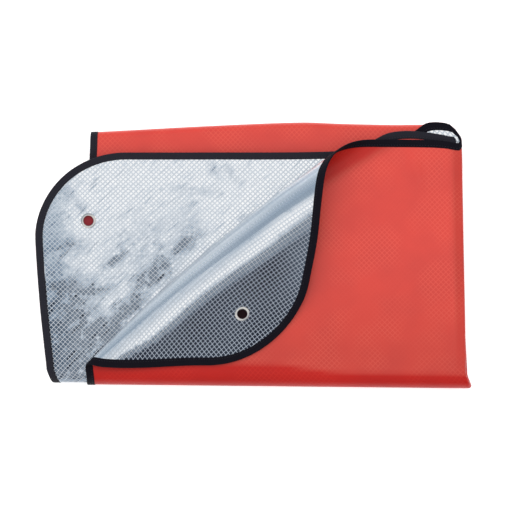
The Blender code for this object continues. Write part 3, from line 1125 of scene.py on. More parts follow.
@dataclass(frozen=True)
class ScrimPattern:
    """The square grid of reinforcing threads, laid on the bias of the sheet."""

    # 5 mm squares, at 45 degrees to the edges, as in reinforced foil laminate
    square_mm: float = 5.02
    # Half a thread, its soft edge and the valley beside it, as shares of a square
    thread_share: float = 0.055
    thread_soft: float = 0.055
    valley: float = 0.07
    # How far the threads stray, and over what length
    stray_mm: float = 0.35
    stray_size_mm: float = 22.222

    def build(self, add: AddNode) -> tuple[bpy.types.Node, ...]:
        """Adds the pattern's nodes.

        Args:
            add: adds a node to the material.

        Returns:
            The flat position in metres, the position in squares, the thread mask, and the
            mask of the valleys beside the threads.
        """
        flat = add("UVMap", uv_map=FLAT_UV)
        stray = add(
            "TexNoise",
            {"Vector": flat, "Scale": per_metre(self.stray_size_mm), "Detail": 1.0},
        )
        centred = add("VectorMath", {0: stray.outputs["Color"], 1: MID_NOISE}, operation="SUBTRACT")
        moved = add(
            "VectorMath",
            {0: centred, 1: (2 * self.stray_mm * MM,) * 3, 2: flat},
            operation="MULTIPLY_ADD",
        )
        squares = add(
            "Mapping",
            {
                "Vector": moved,
                "Rotation": (0, 0, math.radians(45)),
                "Scale": (per_metre(self.square_mm),) * 3,
            },
        )
        parts = add("SeparateXYZ", {0: squares})
        nearest = [
            add("Math", {0: parts.outputs[axis], 1: 0.5}, operation="PINGPONG")
            for axis in (0, 1)
        ]
        near = add("Math", {0: nearest[0], 1: nearest[1]}, operation="MINIMUM")
        edge = self.thread_share + self.thread_soft
        thread, valley = (
            add(
                "MapRange",
                {"Value": near, "From Min": a, "From Max": b, "To Min": 1.0, "To Max": 0.0},
                interpolation_type="SMOOTHSTEP",
            )
            for a, b in ((self.thread_share, edge), (edge, edge + self.valley))
        )
        return flat, squares, thread, valley

    def stretch(self, size_mm: tuple[float, float]) -> tuple[float, float, float]:
        """Gives the scale, in squares, of a pattern that lies along the threads."""
        return self.square_mm / size_mm[0], self.square_mm / size_mm[1], 1.0


@dataclass(frozen=True)
class FilmNodes:
    """What the parts of the silver finish have in common.

    Add adds a node. Flat is the flat position in metres, and squares the position in squares.
    Thread and dip are the masks of the threads and of the valleys beside them, raised is how far
    the scrim stands up, own is a random value and colour for each square, and crumple is the
    crumples' noise.
    """

    add: AddNode
    flat: bpy.types.Node
    squares: bpy.types.Node
    thread: bpy.types.Node
    dip: bpy.types.Node
    raised: bpy.types.Node
    own: bpy.types.Node
    crumple: bpy.types.Node


@dataclass(frozen=True)
class MetallisedFilm:
    """Aluminium-metallised polyethylene film pressed over a scrim."""

    # Painted reflection: the film's base colour from bright to dark, standing in for the bright and
    # dark parts of the studio it mirrors, with a bluish cast between
    reflection_tones: tuple[tuple[float, str], ...] = (
        (0.00, "#FFFFFF"),
        (0.45, "#B5C1CE"),
        (0.85, "#657282"),
        (1.00, "#262C39"),
    )
    thread: str = "#C6CBD1"
    # Threads where the film is painted evenly dark are painted a little darker too, as painted
    # reflection
    thread_in_painted_dark: str = "#A6ADB8"
    thread_roughness: float = 0.5
    thread_metal: float = 0.35
    # How much of the scrim's relief goes where it is pulled flat
    pulled_flat: float = 0.85
    # Crumples lie with the turned-back corner, fine creases along the threads: width and length
    crumple_mm: tuple[float, float] = (12.55, 29.53)
    crease_mm: tuple[float, float] = (3.8615, 35.857)
    # Gloom is how dark the film is painted, as painted reflection of the darker parts of the
    # studio: it grows with the painted darkness, crumple by crumple and square by square, from the
    # least painted darkness up to the most that a patch may have
    crumple_gain: float = 3.3
    square_gain: float = 0.45
    least_painted_dark: float = 0.04
    most_patchy: float = 0.75
    valley_gloom: float = 0.33
    crease_range: tuple[float, float] = (0.58, 0.76)
    crease_gloom: float = 0.45
    square_gloom: float = 0.05
    # The bump's height, with the crumples and the fine crinkles as multiples of it
    crinkle_mm: float = 0.20
    crumple_rise: float = 2.2
    fine_rise: float = 0.5
    # The size of the fine crinkles, and the height of the threads' ridges
    fine_mm: float = 8.333
    ridge_mm: float = 0.18
    bump_strength: float = 0.8
    # How far each square of film is pulled out of true by its threads
    square_lean: float = 0.05
    scrim: ScrimPattern = ScrimPattern()

    def nodes(self, add: AddNode) -> FilmNodes:
        """Adds the nodes that the parts of the finish have in common.

        Args:
            add: adds a node to the material.

        Returns:
            The nodes.
        """
        flat, squares, thread, valley = self.scrim.build(add)
        fade = add("Attribute", attribute_name="scrim_fade").outputs["Fac"]
        raised = add("Math", {0: fade, 1: -self.pulled_flat, 2: 1.0}, operation="MULTIPLY_ADD")
        thread = add("Math", {0: thread, 1: raised}, operation="MULTIPLY")
        dip = add("Math", {0: valley, 1: raised}, operation="MULTIPLY")
        square = add("VectorMath", {0: squares}, operation="FLOOR")
        own = add("TexWhiteNoise", {"Vector": square})
        scale = self.scrim.stretch(self.crumple_mm)
        turned = add("Mapping", {"Vector": squares, "Scale": scale})
        crumple = add(
            "TexNoise",
            {"Vector": turned, "Scale": 1.0, "Detail": 4.0, "Roughness": 0.6, "Distortion": 0.8},
        )
        return FilmNodes(add, flat, squares, thread, dip, raised, own, crumple)

    def gloom(self, nodes: FilmNodes, painted_dark_reflection: bpy.types.NodeSocket) -> bpy.types.Node:
        """Adds how dark the film is painted, as painted reflection, where it isn't painted evenly
        dark.

        Args:
            nodes: the finish's common nodes.
            painted_dark_reflection: how dark the film's painted reflection is.

        Returns:
            The gloom.
        """
        add = nodes.add
        # How crumpled the film is sets how patchy its painted reflection is
        crumpled = add("Attribute", attribute_name="crumpled").outputs["Fac"]
        middle = -(self.square_gain + self.crumple_gain) / 2
        uneven = add(
            "Math", {0: nodes.own, 1: self.square_gain, 2: middle}, operation="MULTIPLY_ADD"
        )
        uneven = add(
            "Math",
            {0: nodes.crumple, 1: self.crumple_gain, 2: uneven},
            operation="MULTIPLY_ADD",
        )
        patchy = add("Math", {0: uneven, 1: crumpled, 2: 1.0}, operation="MULTIPLY_ADD")
        level = add("Math", {0: painted_dark_reflection, 1: self.least_painted_dark}, operation="ADD")
        gloom = add("Math", {0: patchy, 1: level}, operation="MULTIPLY")
        gloom = add("Math", {0: gloom, 1: self.most_patchy}, operation="MINIMUM")
        # Painted reflection: the film dips beside each thread, and is painted darker there for the
        # darker part of the studio it would mirror
        gloom = add(
            "Math", {0: nodes.dip, 1: self.valley_gloom, 2: gloom}, operation="MULTIPLY_ADD"
        )
        # Painted reflection: fine dark lines where it was creased along its threads, and squares a
        # little unlike in tone
        scale = self.scrim.stretch(self.crease_mm)
        drawn = add("Mapping", {"Vector": nodes.squares, "Scale": scale})
        creases = add("TexNoise", {"Vector": drawn, "Scale": 1.0, "Detail": 2.0})
        low, high = self.crease_range
        lines = add(
            "MapRange",
            {"Value": creases, "From Min": low, "From Max": high, "To Max": self.crease_gloom},
        )
        lines = add(
            "Math", {0: nodes.own, 1: self.square_gloom, 2: lines}, operation="MULTIPLY_ADD"
        )
        return add("Math", {0: lines, 1: crumpled, 2: gloom}, operation="MULTIPLY_ADD")

    def colour(self, nodes: FilmNodes) -> bpy.types.Node:
        """Adds the colour of the film, with its painted reflection, and of its threads.

        Args:
            nodes: the finish's common nodes.

        Returns:
            The node that gives the colour.
        """
        add = nodes.add
        # How dark the film's reflection is painted, read from the sheet's vertices
        painted_dark_reflection = add("Attribute", attribute_name="painted_dark_reflection").outputs["Fac"]
        even = add("Math", {0: painted_dark_reflection, 1: 1.0}, operation="SUBTRACT", use_clamp=True)
        gloom = add("Math", {0: self.gloom(nodes, painted_dark_reflection), 1: even}, operation="MAXIMUM")
        bare = add("ValToRGB", {0: gloom})
        set_stops(bare, self.reflection_tones)
        strand = add(
            "Mix",
            {"Factor": even, "A": linear(self.thread), "B": linear(self.thread_in_painted_dark)},
            data_type="RGBA",
        )
        return add("Mix", {"Factor": nodes.thread, "A": bare, "B": strand}, data_type="RGBA")

    def normal(self, nodes: FilmNodes) -> bpy.types.Node:
        """Adds the film's crumples, crinkles and thread ridges, and the lean of its squares.

        Args:
            nodes: the finish's common nodes.

        Returns:
            The node that gives the normal.
        """
        add = nodes.add
        fine = add(
            "TexNoise",
            {
                "Vector": nodes.flat,
                "Scale": per_metre(self.fine_mm),
                "Detail": 3.0,
                "Distortion": 0.5,
            },
        )
        height = add("Math", {0: nodes.crumple, 1: self.crumple_rise}, operation="MULTIPLY")
        height = add("Math", {0: fine, 1: self.fine_rise, 2: height}, operation="MULTIPLY_ADD")
        height = add("Math", {0: height, 1: nodes.raised}, operation="MULTIPLY")
        height = add(
            "Math",
            {0: nodes.thread, 1: self.ridge_mm / self.crinkle_mm, 2: height},
            operation="MULTIPLY_ADD",
        )
        bump = add(
            "Bump",
            {"Height": height, "Distance": self.crinkle_mm * MM, "Strength": self.bump_strength},
        )
        aside = add(
            "VectorMath", {0: nodes.own.outputs["Color"], 1: MID_NOISE}, operation="SUBTRACT"
        )
        lean = add("Math", {0: nodes.raised, 1: 2 * self.square_lean}, operation="MULTIPLY")
        aside = add("VectorMath", {0: aside, "Scale": lean}, operation="SCALE")
        leant = add("VectorMath", {0: bump, 1: aside}, operation="ADD")
        return add("VectorMath", {0: leant}, operation="NORMALIZE")

    def material(self) -> bpy.types.Material:
        """Makes the material.

        Returns:
            The material.
        """
        # Bare film mirrors the studio square by square over a base colour with painted reflection
        # in it, and the threads show as paler, matt lines
        made, tree = new_material("metallised_polyethylene_film")
        add = partial(add_node, tree)
        nodes = self.nodes(add)
        smooth = add("Attribute", attribute_name="roughness").outputs["Fac"]
        metal, rough = (
            add("Mix", {"Factor": nodes.thread, "A": film, "B": thread})
            for film, thread in ((1.0, self.thread_metal), (smooth, self.thread_roughness))
        )
        finish_material(
            tree,
            {
                "Base Color": self.colour(nodes),
                "Metallic": metal,
                "Roughness": rough,
                "Normal": self.normal(nodes),
            },
        )
        return made


@dataclass(frozen=True)
class RedLaminate:
    """Red pigmented polyethylene film, with the scrim embossed in it."""

    colour: str = "#CB3629"
    embossed: str = "#D74F3D"
    worn: str = "#C33328"
    # The tints of the painted shade at the folds, from none to full: cooler first, then deeper
    shade_tints: tuple[tuple[float, str], ...] = ((0.0, "#FFFFFF"), (0.5, "#EAFAFC"), (1.0, "#DC8686"))
    roughness: float = 0.40
    ior: float = 1.5
    # Clouds of worn colour, places where the embossing is pressed flat again, and the fine grain
    cloud_mm: float = 71.43
    cloud_range: tuple[float, float] = (0.38, 0.62)
    pressed_mm: float = 58.82
    pressed_range: tuple[float, float] = (0.42, 0.60)
    least_embossed: float = 0.15
    embossed_share: float = 0.5
    grain_mm: float = 2.5
    grain_rise: float = 0.25
    ridge_mm: float = 0.12
    bump_strength: float = 0.6
    scrim: ScrimPattern = ScrimPattern(thread_share=0.05, thread_soft=0.12)
    # Marks that stand for the shade in an eyelet's hole, on the film that shows through it:
    # centres in millimetres, and colours
    marks: tuple[tuple[tuple[float, float, float], str], ...] = (
        ((-230.2, 47.4, 35.5), "#7C2329"),
        ((-15.3, -82.8, 40.0), "#26060C"),
    )
    mark_radii: tuple[float, float] = (12.0 * MM, 8.5 * MM)
    # The specular level of the film without painted shade, of the film in full painted shade, where
    # its sheen is taken away, and of the marks
    specular: tuple[float, float, float] = (0.5, 0.2, 0.12)

    def material(self) -> bpy.types.Material:
        """Makes the material.

        Returns:
            The material.
        """
        # A satin plastic skin: even red, with the scrim's squares just showing through
        made, tree = new_material("red_polyethylene_laminate")
        add = partial(add_node, tree)
        flat, _, thread, _ = self.scrim.build(add)
        cloud, grain, pressed = (
            add("TexNoise", {"Vector": flat, "Scale": per_metre(size_mm), "Detail": detail})
            for size_mm, detail in (
                (self.cloud_mm, 3.0),
                (self.grain_mm, 2.0),
                (self.pressed_mm, 1.0),
            )
        )
        low, high = self.cloud_range
        worn = add("MapRange", {"Value": cloud, "From Min": low, "From Max": high})
        colour = add(
            "Mix",
            {"Factor": worn, "A": linear(self.colour), "B": linear(self.worn)},
            data_type="RGBA",
        )
        low, high = self.pressed_range
        left = add(
            "MapRange",
            {"Value": pressed, "From Min": low, "From Max": high, "To Min": self.least_embossed},
        )
        embossing = add("Math", {0: thread, 1: left}, operation="MULTIPLY")
        shown = add("Math", {0: embossing, 1: self.embossed_share}, operation="MULTIPLY")
        colour = add(
            "Mix",
            {"Factor": shown, "A": colour, "B": linear(self.embossed)},
            data_type="RGBA",
        )
        # Painted shade: round the folds and where the roll rises, the film is tinted deeper and its
        # specular level is lowered, in place of the shade that falls there
        shade_share = add("Attribute", attribute_name="fold_shade").outputs["Fac"]
        shade_tint = add("ValToRGB", {0: shade_share})
        set_stops(shade_tint, self.shade_tints)
        colour = add(
            "Mix",
            {"Factor": 1.0, "A": colour, "B": shade_tint},
            data_type="RGBA",
            blend_type="MULTIPLY",
        )
        loose, drawn, marked = self.specular
        specular = add("Mix", {"Factor": shade_share, "A": loose, "B": drawn})
        place = add("TexCoord").outputs["Object"]
        outer, inner = self.mark_radii
        for centre, tone in self.marks:
            away = add("VectorMath", {0: place, 1: Vector(centre) * MM}, operation="DISTANCE")
            mark = add(
                "MapRange",
                {"Value": away, "From Min": outer, "From Max": inner},
                interpolation_type="SMOOTHSTEP",
            )
            colour = add("Mix", {"Factor": mark, "A": colour, "B": linear(tone)}, data_type="RGBA")
            specular = add("Mix", {"Factor": mark, "A": specular, "B": marked})
        height = add("Math", {0: grain, 1: self.grain_rise, 2: embossing}, operation="MULTIPLY_ADD")
        bump = add(
            "Bump",
            {"Height": height, "Distance": self.ridge_mm * MM, "Strength": self.bump_strength},
        )
        finish_material(
            tree,
            {
                "Base Color": colour,
                "Roughness": self.roughness,
                "IOR": self.ior,
                "Specular IOR Level": specular,
                "Normal": bump,
            },
        )
        return made


@dataclass(frozen=True)
class BindingTape:
    """Black polyester grosgrain tape, a little lighter and glossier beyond the first two leaves of
    the top panel.
    """

    colour: str = "#0A070F"
    rib: str = "#13111A"
    lightened: str = "#151519"
    roughness: float = 0.75
    # The specular level of the tape on the first two leaves of the top panel, and of the lighter
    # tape elsewhere
    specular: tuple[float, float] = (0.12, 0.25)
    # Ribs 0.9 mm apart, drawn about 2.8 mm apart so that they show
    rib_mm: float = 2.7635
    rib_rise_mm: float = 0.12
    bump_strength: float = 0.7
    cloud_mm: float = 16.667
    # A wave texture makes this many bands along a length of tau at a scale of 1
    bands: float = 20.0

    def material(self) -> bpy.types.Material:
        """Makes the material.

        Returns:
            The material.
        """
        # Close ribs across the tape give it a soft, nearly matt black with a faint blue cast
        made, tree = new_material("black_polyester_grosgrain")
        add = partial(add_node, tree)
        flat = add("UVMap", uv_map=FLAT_UV)
        ribs = add(
            "TexWave",
            {
                "Vector": flat,
                "Scale": per_metre(self.rib_mm) * math.tau / self.bands,
                "Distortion": 0.4,
                "Detail": 1.0,
            },
            wave_type="BANDS",
            bands_direction="X",
        ).outputs["Fac"]
        cloud = add("TexNoise", {"Vector": flat, "Scale": per_metre(self.cloud_mm), "Detail": 2.0})
        share = add("Math", {0: ribs, 1: cloud}, operation="MULTIPLY")
        tone = add(
            "Mix",
            {"Factor": share, "A": linear(self.colour), "B": linear(self.rib)},
            data_type="RGBA",
        )
        # Made lighter and glossier past the first two leaves of the top panel
        lightened_share = add("Attribute", attribute_name="lightened").outputs["Fac"]
        tone = add(
            "Mix",
            {"Factor": lightened_share, "A": tone, "B": linear(self.lightened)},
            data_type="RGBA",
            blend_type="ADD",
        )
        unlightened, lightened = self.specular
        bump = add(
            "Bump",
            {"Height": ribs, "Distance": self.rib_rise_mm * MM, "Strength": self.bump_strength},
        )
        finish_material(
            tree,
            {
                "Base Color": tone,
                "Roughness": self.roughness,
                "Specular IOR Level": add("Mix", {"Factor": lightened_share, "A": unlightened, "B": lightened}),
                "Normal": bump,
            },
        )
        return made


@dataclass(frozen=True)
class SewingThread:
    """Black polyester thread."""

    colour: str = "#14161D"
    lit: str = "#20232C"
    twist_mm: float = 0.4
    roughness: float = 0.5

    def material(self) -> bpy.types.Material:
        """Makes the material.

        Returns:
            The material.
        """
        # Twisted filament is a touch glossier than the tape it is sewn through
        made, tree = new_material("black_polyester_thread")
        add = partial(add_node, tree)
        place = add("TexCoord").outputs["Object"]
        twist = add("TexNoise", {"Vector": place, "Scale": per_metre(self.twist_mm), "Detail": 1.0})
        tone = add(
            "Mix",
            {"Factor": twist, "A": linear(self.colour), "B": linear(self.lit)},
            data_type="RGBA",
        )
        finish_material(tree, {"Base Color": tone, "Roughness": self.roughness})
        return made


@dataclass(frozen=True)
class RolledEyeletMetal:
    """Bright aluminium, drawn and rolled."""

    colour: str = "#DDDBD8"
    handled: str = "#C2BFBB"
    # Handling marks about 1 mm across
    mark_mm: float = 1.1111
    roughness: tuple[float, float] = (0.16, 0.34)

    def material(self) -> bpy.types.Material:
        """Makes the material.

        Returns:
            The material.
        """
        # Bright metal with fine handling marks, so the ring glints without being a mirror
        made, tree = new_material("bright_rolled_aluminium")
        add = partial(add_node, tree)
        place = add("TexCoord").outputs["Object"]
        marks = add("TexNoise", {"Vector": place, "Scale": per_metre(self.mark_mm), "Detail": 3.0})
        low, high = self.roughness
        rough = add("MapRange", {"Value": marks, "To Min": low, "To Max": high})
        tone = add(
            "Mix",
            {"Factor": marks, "A": linear(self.colour), "B": linear(self.handled)},
            data_type="RGBA",
        )
        finish_material(tree, {"Base Color": tone, "Metallic": 1.0, "Roughness": rough})
        return made


# Meshes


@dataclass
class FlatMesh:
    """Vertices given by flat position, and the faces between them."""

    flats: list[tuple[float, float, float]] = field(default_factory=list)
    faces: list[tuple[int, ...]] = field(default_factory=list)
    slots: list[int] = field(default_factory=list)

    def ring(self, points: Iterable[tuple[float, float, float]]) -> list[int]:
        """Adds vertices and gives their indices.

        Args:
            points: the vertices' flat positions.

        Returns:
            The indices.
        """
        first = len(self.flats)
        self.flats.extend(points)
        return list(range(first, len(self.flats)))

    def face(self, corners: Iterable[int], slot: int = 0) -> None:
        """Adds a face with a material slot."""
        self.faces.append(tuple(corners))
        self.slots.append(slot)

    def build(
        self,
        name: str,
        place: Callable[[float, float, float], Vector],
        materials: Sequence[bpy.types.Material],
    ) -> bpy.types.Object:
        """Folds the mesh and makes the object.

        Args:
            name: the object's name.
            place: gives a flat position's place in the folded blanket.
            materials: the materials of the slots.

        Returns:
            The object, smooth-shaded, with its flat positions as UVs.
        """
        mesh = bpy.data.meshes.new(name)
        mesh.from_pydata([place(*flat) for flat in self.flats], [], self.faces)
        mesh.polygons.foreach_set("material_index", self.slots)
        layer = mesh.uv_layers.new(name=FLAT_UV)
        corners = [self.flats[i][axis] for face in self.faces for i in face for axis in (0, 1)]
        layer.data.foreach_set("uv", corners)
        for material in materials:
            mesh.materials.append(material)
        mesh.shade_smooth()
        return add_object(name, mesh)


@dataclass(frozen=True)
class EyeletPlace:
    """Where an eyelet sits in the flat sheet, and the frame's node that it stands for.

    It lies so many millimetres in from one end and one long edge.
    """

    name: str
    node: str
    at_last_leaf: bool
    at_last_panel: bool
    from_end: float
    from_edge: float

    def flat(self, folds: Folds) -> tuple[float, float]:
        """Gives the eyelet's flat position.

        Args:
            folds: the way that the sheet is folded.

        Returns:
            Its positions along the length and across the width.
        """
        u, v = self.from_end * MM, self.from_edge * MM
        return (
            folds.leaves.total - u if self.at_last_leaf else u,
            folds.panels.total - v if self.at_last_panel else v,
        )


EYELETS = (
    EyeletPlace("flap_eyelet", "eyelet_flap", False, False, 72.4, 83.0),
    EyeletPlace("under_eyelet", "eyelet_under", True, False, 74.6, 100.8),
    EyeletPlace("inner_eyelet_a", "eyelet_hidden_a", False, True, 90.0, 92.0),
    EyeletPlace("inner_eyelet_b", "eyelet_hidden_b", True, True, 72.0, 92.0),
)


@dataclass
class LaminateSheet:
    """The laminated cloth, as one thin closed sheet with a red and a silver face."""

    folds: Folds
    relief: Relief
    silver: SilverState
    red: RedFoldShade
    thickness: float = 0.8 * MM
    hole_radius: float = 7.9 * MM
    hole_margin: float = 4.0 * MM
    hole_cuts: int = 24
    # A cut goes through a vertex this near to it, and one this near to the rim is on it
    snap: float = 0.02 * MM
    on_rim: float = 1e-7
    # Spacing of the grid lines in millimetres, by span of stations
    lines_u: tuple[tuple[float, float, float], ...] = (
        (0.0, 1.0, 6.0),
        (2.0, 2.4, 5.0),
        (2.4, 3.0, 26.0),
        (4.0, 4.55, 26.0),
        (4.55, 5.0, 5.0),
        (6.0, 7.0, 6.4),
    )
    lines_v: tuple[tuple[float, float, float], ...] = (
        (0.0, 1.0, 6.0),
        (2.0, 3.0, 26.0),
        (4.0, 5.0, 26.0),
        (6.0, 7.0, 26.0),
    )
    turn_steps_u: tuple[int, ...] = (10, 6, 6)
    turn_steps_v: tuple[int, ...] = (14, 10, 8)
    # Bend lines over the roll, and past it by share of the bend
    roll_steps: int = 22
    flap_lines: tuple[float, ...] = (1.5, 1.9, 2.1, 2.2, 2.3, 2.45)

    @staticmethod
    def grid(
        path: FoldPath, spans: Sequence[tuple[float, float, float]], steps: Sequence[int]
    ) -> list[float]:
        """Gives the flat positions of the grid lines in one direction.

        Args:
            path: the fold path of that direction.
            spans: first station, last station and spacing of each span of a run.
            steps: the number of facets in each turn.

        Returns:
            The positions in order.
        """
        found = set()
        for begin, end, spacing in spans:
            low, high = path.flat(begin), path.flat(end)
            count = max(1, round((high - low) / (spacing * MM)))
            found |= {round(lerp(low, high, k / count), 7) for k in range(count + 1)}
        for turn, count in enumerate(steps):
            low, high = path.flat(2 * turn + 1), path.flat(2 * turn + 2)
            found |= {round(lerp(low, high, k / count), 7) for k in range(count + 1)}
        return sorted(found)

    def rounded(self, bm: bmesh.types.BMesh) -> None:
        """Cuts the sheet's corners round, by moving the outermost vertices on to the arc.

        Args:
            bm: the flat sheet.
        """
        outside = {v for v in bm.verts if self.folds.rim_distance(v.co.x, v.co.y) < 0}
        spare = [face for face in bm.faces if all(v in outside for v in face.verts)]
        bmesh.ops.delete(bm, geom=spare, context="FACES")
        half = Vector((self.folds.leaves.total / 2, self.folds.panels.total / 2))
        radius = self.folds.corner_radius
        for vert in bm.verts:
            flat = vert.co.xy
            if self.folds.rim_distance(*flat) >= -self.on_rim:
                continue
            side = Vector([math.copysign(1, away) for away in flat - half])
            centre = half + side * (half - Vector((radius, radius)))
            vert.co.xy = centre + (flat - centre).normalized() * radius

    def score(
        self, bm: bmesh.types.BMesh, geometry: Geometry, point: Vector, normal: Vector
    ) -> Geometry:
        """Cuts faces along one line, and gives the geometry with the new parts.

        Args:
            bm: the flat sheet.
            geometry: the faces to cut, with their edges and vertices.
            point: a point of the line.
            normal: the direction square to the line.

        Returns:
            The geometry, cut.
        """
        result = bmesh.ops.bisect_plane(
            bm,
            geom=geometry,
            dist=self.snap,
            plane_co=(point[0], point[1], 0),
            plane_no=(normal[0], normal[1], 0),
        )
        return result["geom"]

    def score_roll(self, bm: bmesh.types.BMesh) -> None:
        """Cuts the top leaf along the lines at which its corner bends.

        Args:
            bm: the flat sheet.
        """
        u_end, v_end = self.folds.leaves.flat(1) + HAIR, self.folds.panels.flat(1) + HAIR
        faces = [f for f in bm.faces if all(v.co.x < u_end and v.co.y < v_end for v in f.verts)]
        geometry = self.with_parts(faces)
        bends = [1 - math.sqrt(1 - k / self.roll_steps) for k in range(self.roll_steps + 1)]
        roll = self.folds.roll
        left, top = self.folds.top_corner
        for t in bends + list(self.flap_lines):
            ends = [roll.line_point(a, t) for a in (0, roll.length)]
            first, last = (Vector((p.x - left, top - p.y)) for p in ends)
            line = last - first
            geometry = self.score(bm, geometry, first, Vector((-line.y, line.x)))

    @staticmethod
    def with_parts(faces: list[bmesh.types.BMFace]) -> Geometry:
        """Gives faces together with their edges and vertices, always in the same order.

        Args:
            faces: the faces.

        Returns:
            The faces, edges and vertices.
        """
        edges = dict.fromkeys(edge for face in faces for edge in face.edges)
        verts = dict.fromkeys(vert for face in faces for vert in face.verts)
        return [*faces, *edges, *verts]

    def punch(self, bm: bmesh.types.BMesh, eye: tuple[float, float]) -> None:
        """Cuts one round eyelet hole in the flat sheet.

        Args:
            bm: the flat sheet.
            eye: the flat position of the hole's centre.
        """
        centre = Vector(eye)
        reach = self.hole_radius + self.hole_margin
        near = [
            face
            for face in bm.faces
            if all(
                min(v.co[axis] for v in face.verts) < centre[axis] + reach
                and max(v.co[axis] for v in face.verts) > centre[axis] - reach
                for axis in (0, 1)
            )
        ]
        geometry = self.with_parts(near)
        for k in range(self.hole_cuts):
            angle = math.tau * k / self.hole_cuts
            out = Vector((math.cos(angle), math.sin(angle)))
            geometry = self.score(bm, geometry, centre + out * self.hole_radius, out)
        inside = [
            item
            for item in geometry
            if isinstance(item, bmesh.types.BMFace)
            and (item.calc_center_median().to_2d() - centre).length < self.hole_radius
        ]
        bmesh.ops.delete(bm, geom=inside, context="FACES")

    def flat_sheet(self) -> bmesh.types.BMesh:
        """Makes the flat sheet with its rounded corners, bend lines and holes.

        Returns:
            The sheet's middle surface.
        """
        us = self.grid(self.folds.leaves, self.lines_u, self.turn_steps_u)
        vs = self.grid(self.folds.panels, self.lines_v, self.turn_steps_v)
        bm = bmesh.new()
        rows = [[bm.verts.new((u, v, 0)) for v in vs] for u in us]
        for row, following in zip(rows, rows[1:]):
            for k in range(len(vs) - 1):
                bm.faces.new((row[k], following[k], following[k + 1], row[k + 1]))
        self.rounded(bm)
        self.score_roll(bm)
        for place in EYELETS:
            self.punch(bm, place.flat(self.folds))
        loose = [v for v in bm.verts if not v.link_faces]
        bmesh.ops.delete(bm, geom=loose, context="VERTS")
        return bm

    def build(self, upper: bpy.types.Material, lower: bpy.types.Material) -> bpy.types.Object:
        """Makes the folded sheet.

        Args:
            upper: the finish of the red face, at plus w.
            lower: the finish of the silver face, at minus w.

        Returns:
            The sheet's object.
        """
        bm = self.flat_sheet()
        bm.verts.index_update()
        count = len(bm.verts)
        mesh = FlatMesh()
        half = self.thickness / 2
        places = [(v.co.x, v.co.y) for v in bm.verts]
        rises = [self.relief.height(u, v) for u, v in places]
        mesh.ring((u, v, half + rise) for (u, v), rise in zip(places, rises))
        mesh.ring((u, v, rise - half) for (u, v), rise in zip(places, rises))
        for face in bm.faces:
            corners = [v.index for v in face.verts]
            mesh.face(reversed(corners), 0)
            mesh.face((i + count for i in corners), 1)
        for edge in bm.edges:
            if not edge.is_boundary:
                continue
            loop = edge.link_loops[0]
            a, b = loop.vert.index, loop.link_loop_next.vert.index
            mesh.face((a, b, b + count, a + count), 0)
        bm.free()
        made = mesh.build("laminate_sheet", self.folds.folded, (upper, lower))
        for name, measure in (
            # Painted reflection of the silver film: how dark it is painted
            ("painted_dark_reflection", self.silver.painted_dark_reflection),
            ("scrim_fade", self.silver.scrim_fade),
            # The red film's painted shade round its folds
            ("fold_shade", self.red.fold_shade),
            ("crumpled", self.silver.crumpled),
            ("roughness", self.silver.roughness),
        ):
            set_measure(made, name, [measure(u, v) for u, v in places] * 2)
        return made


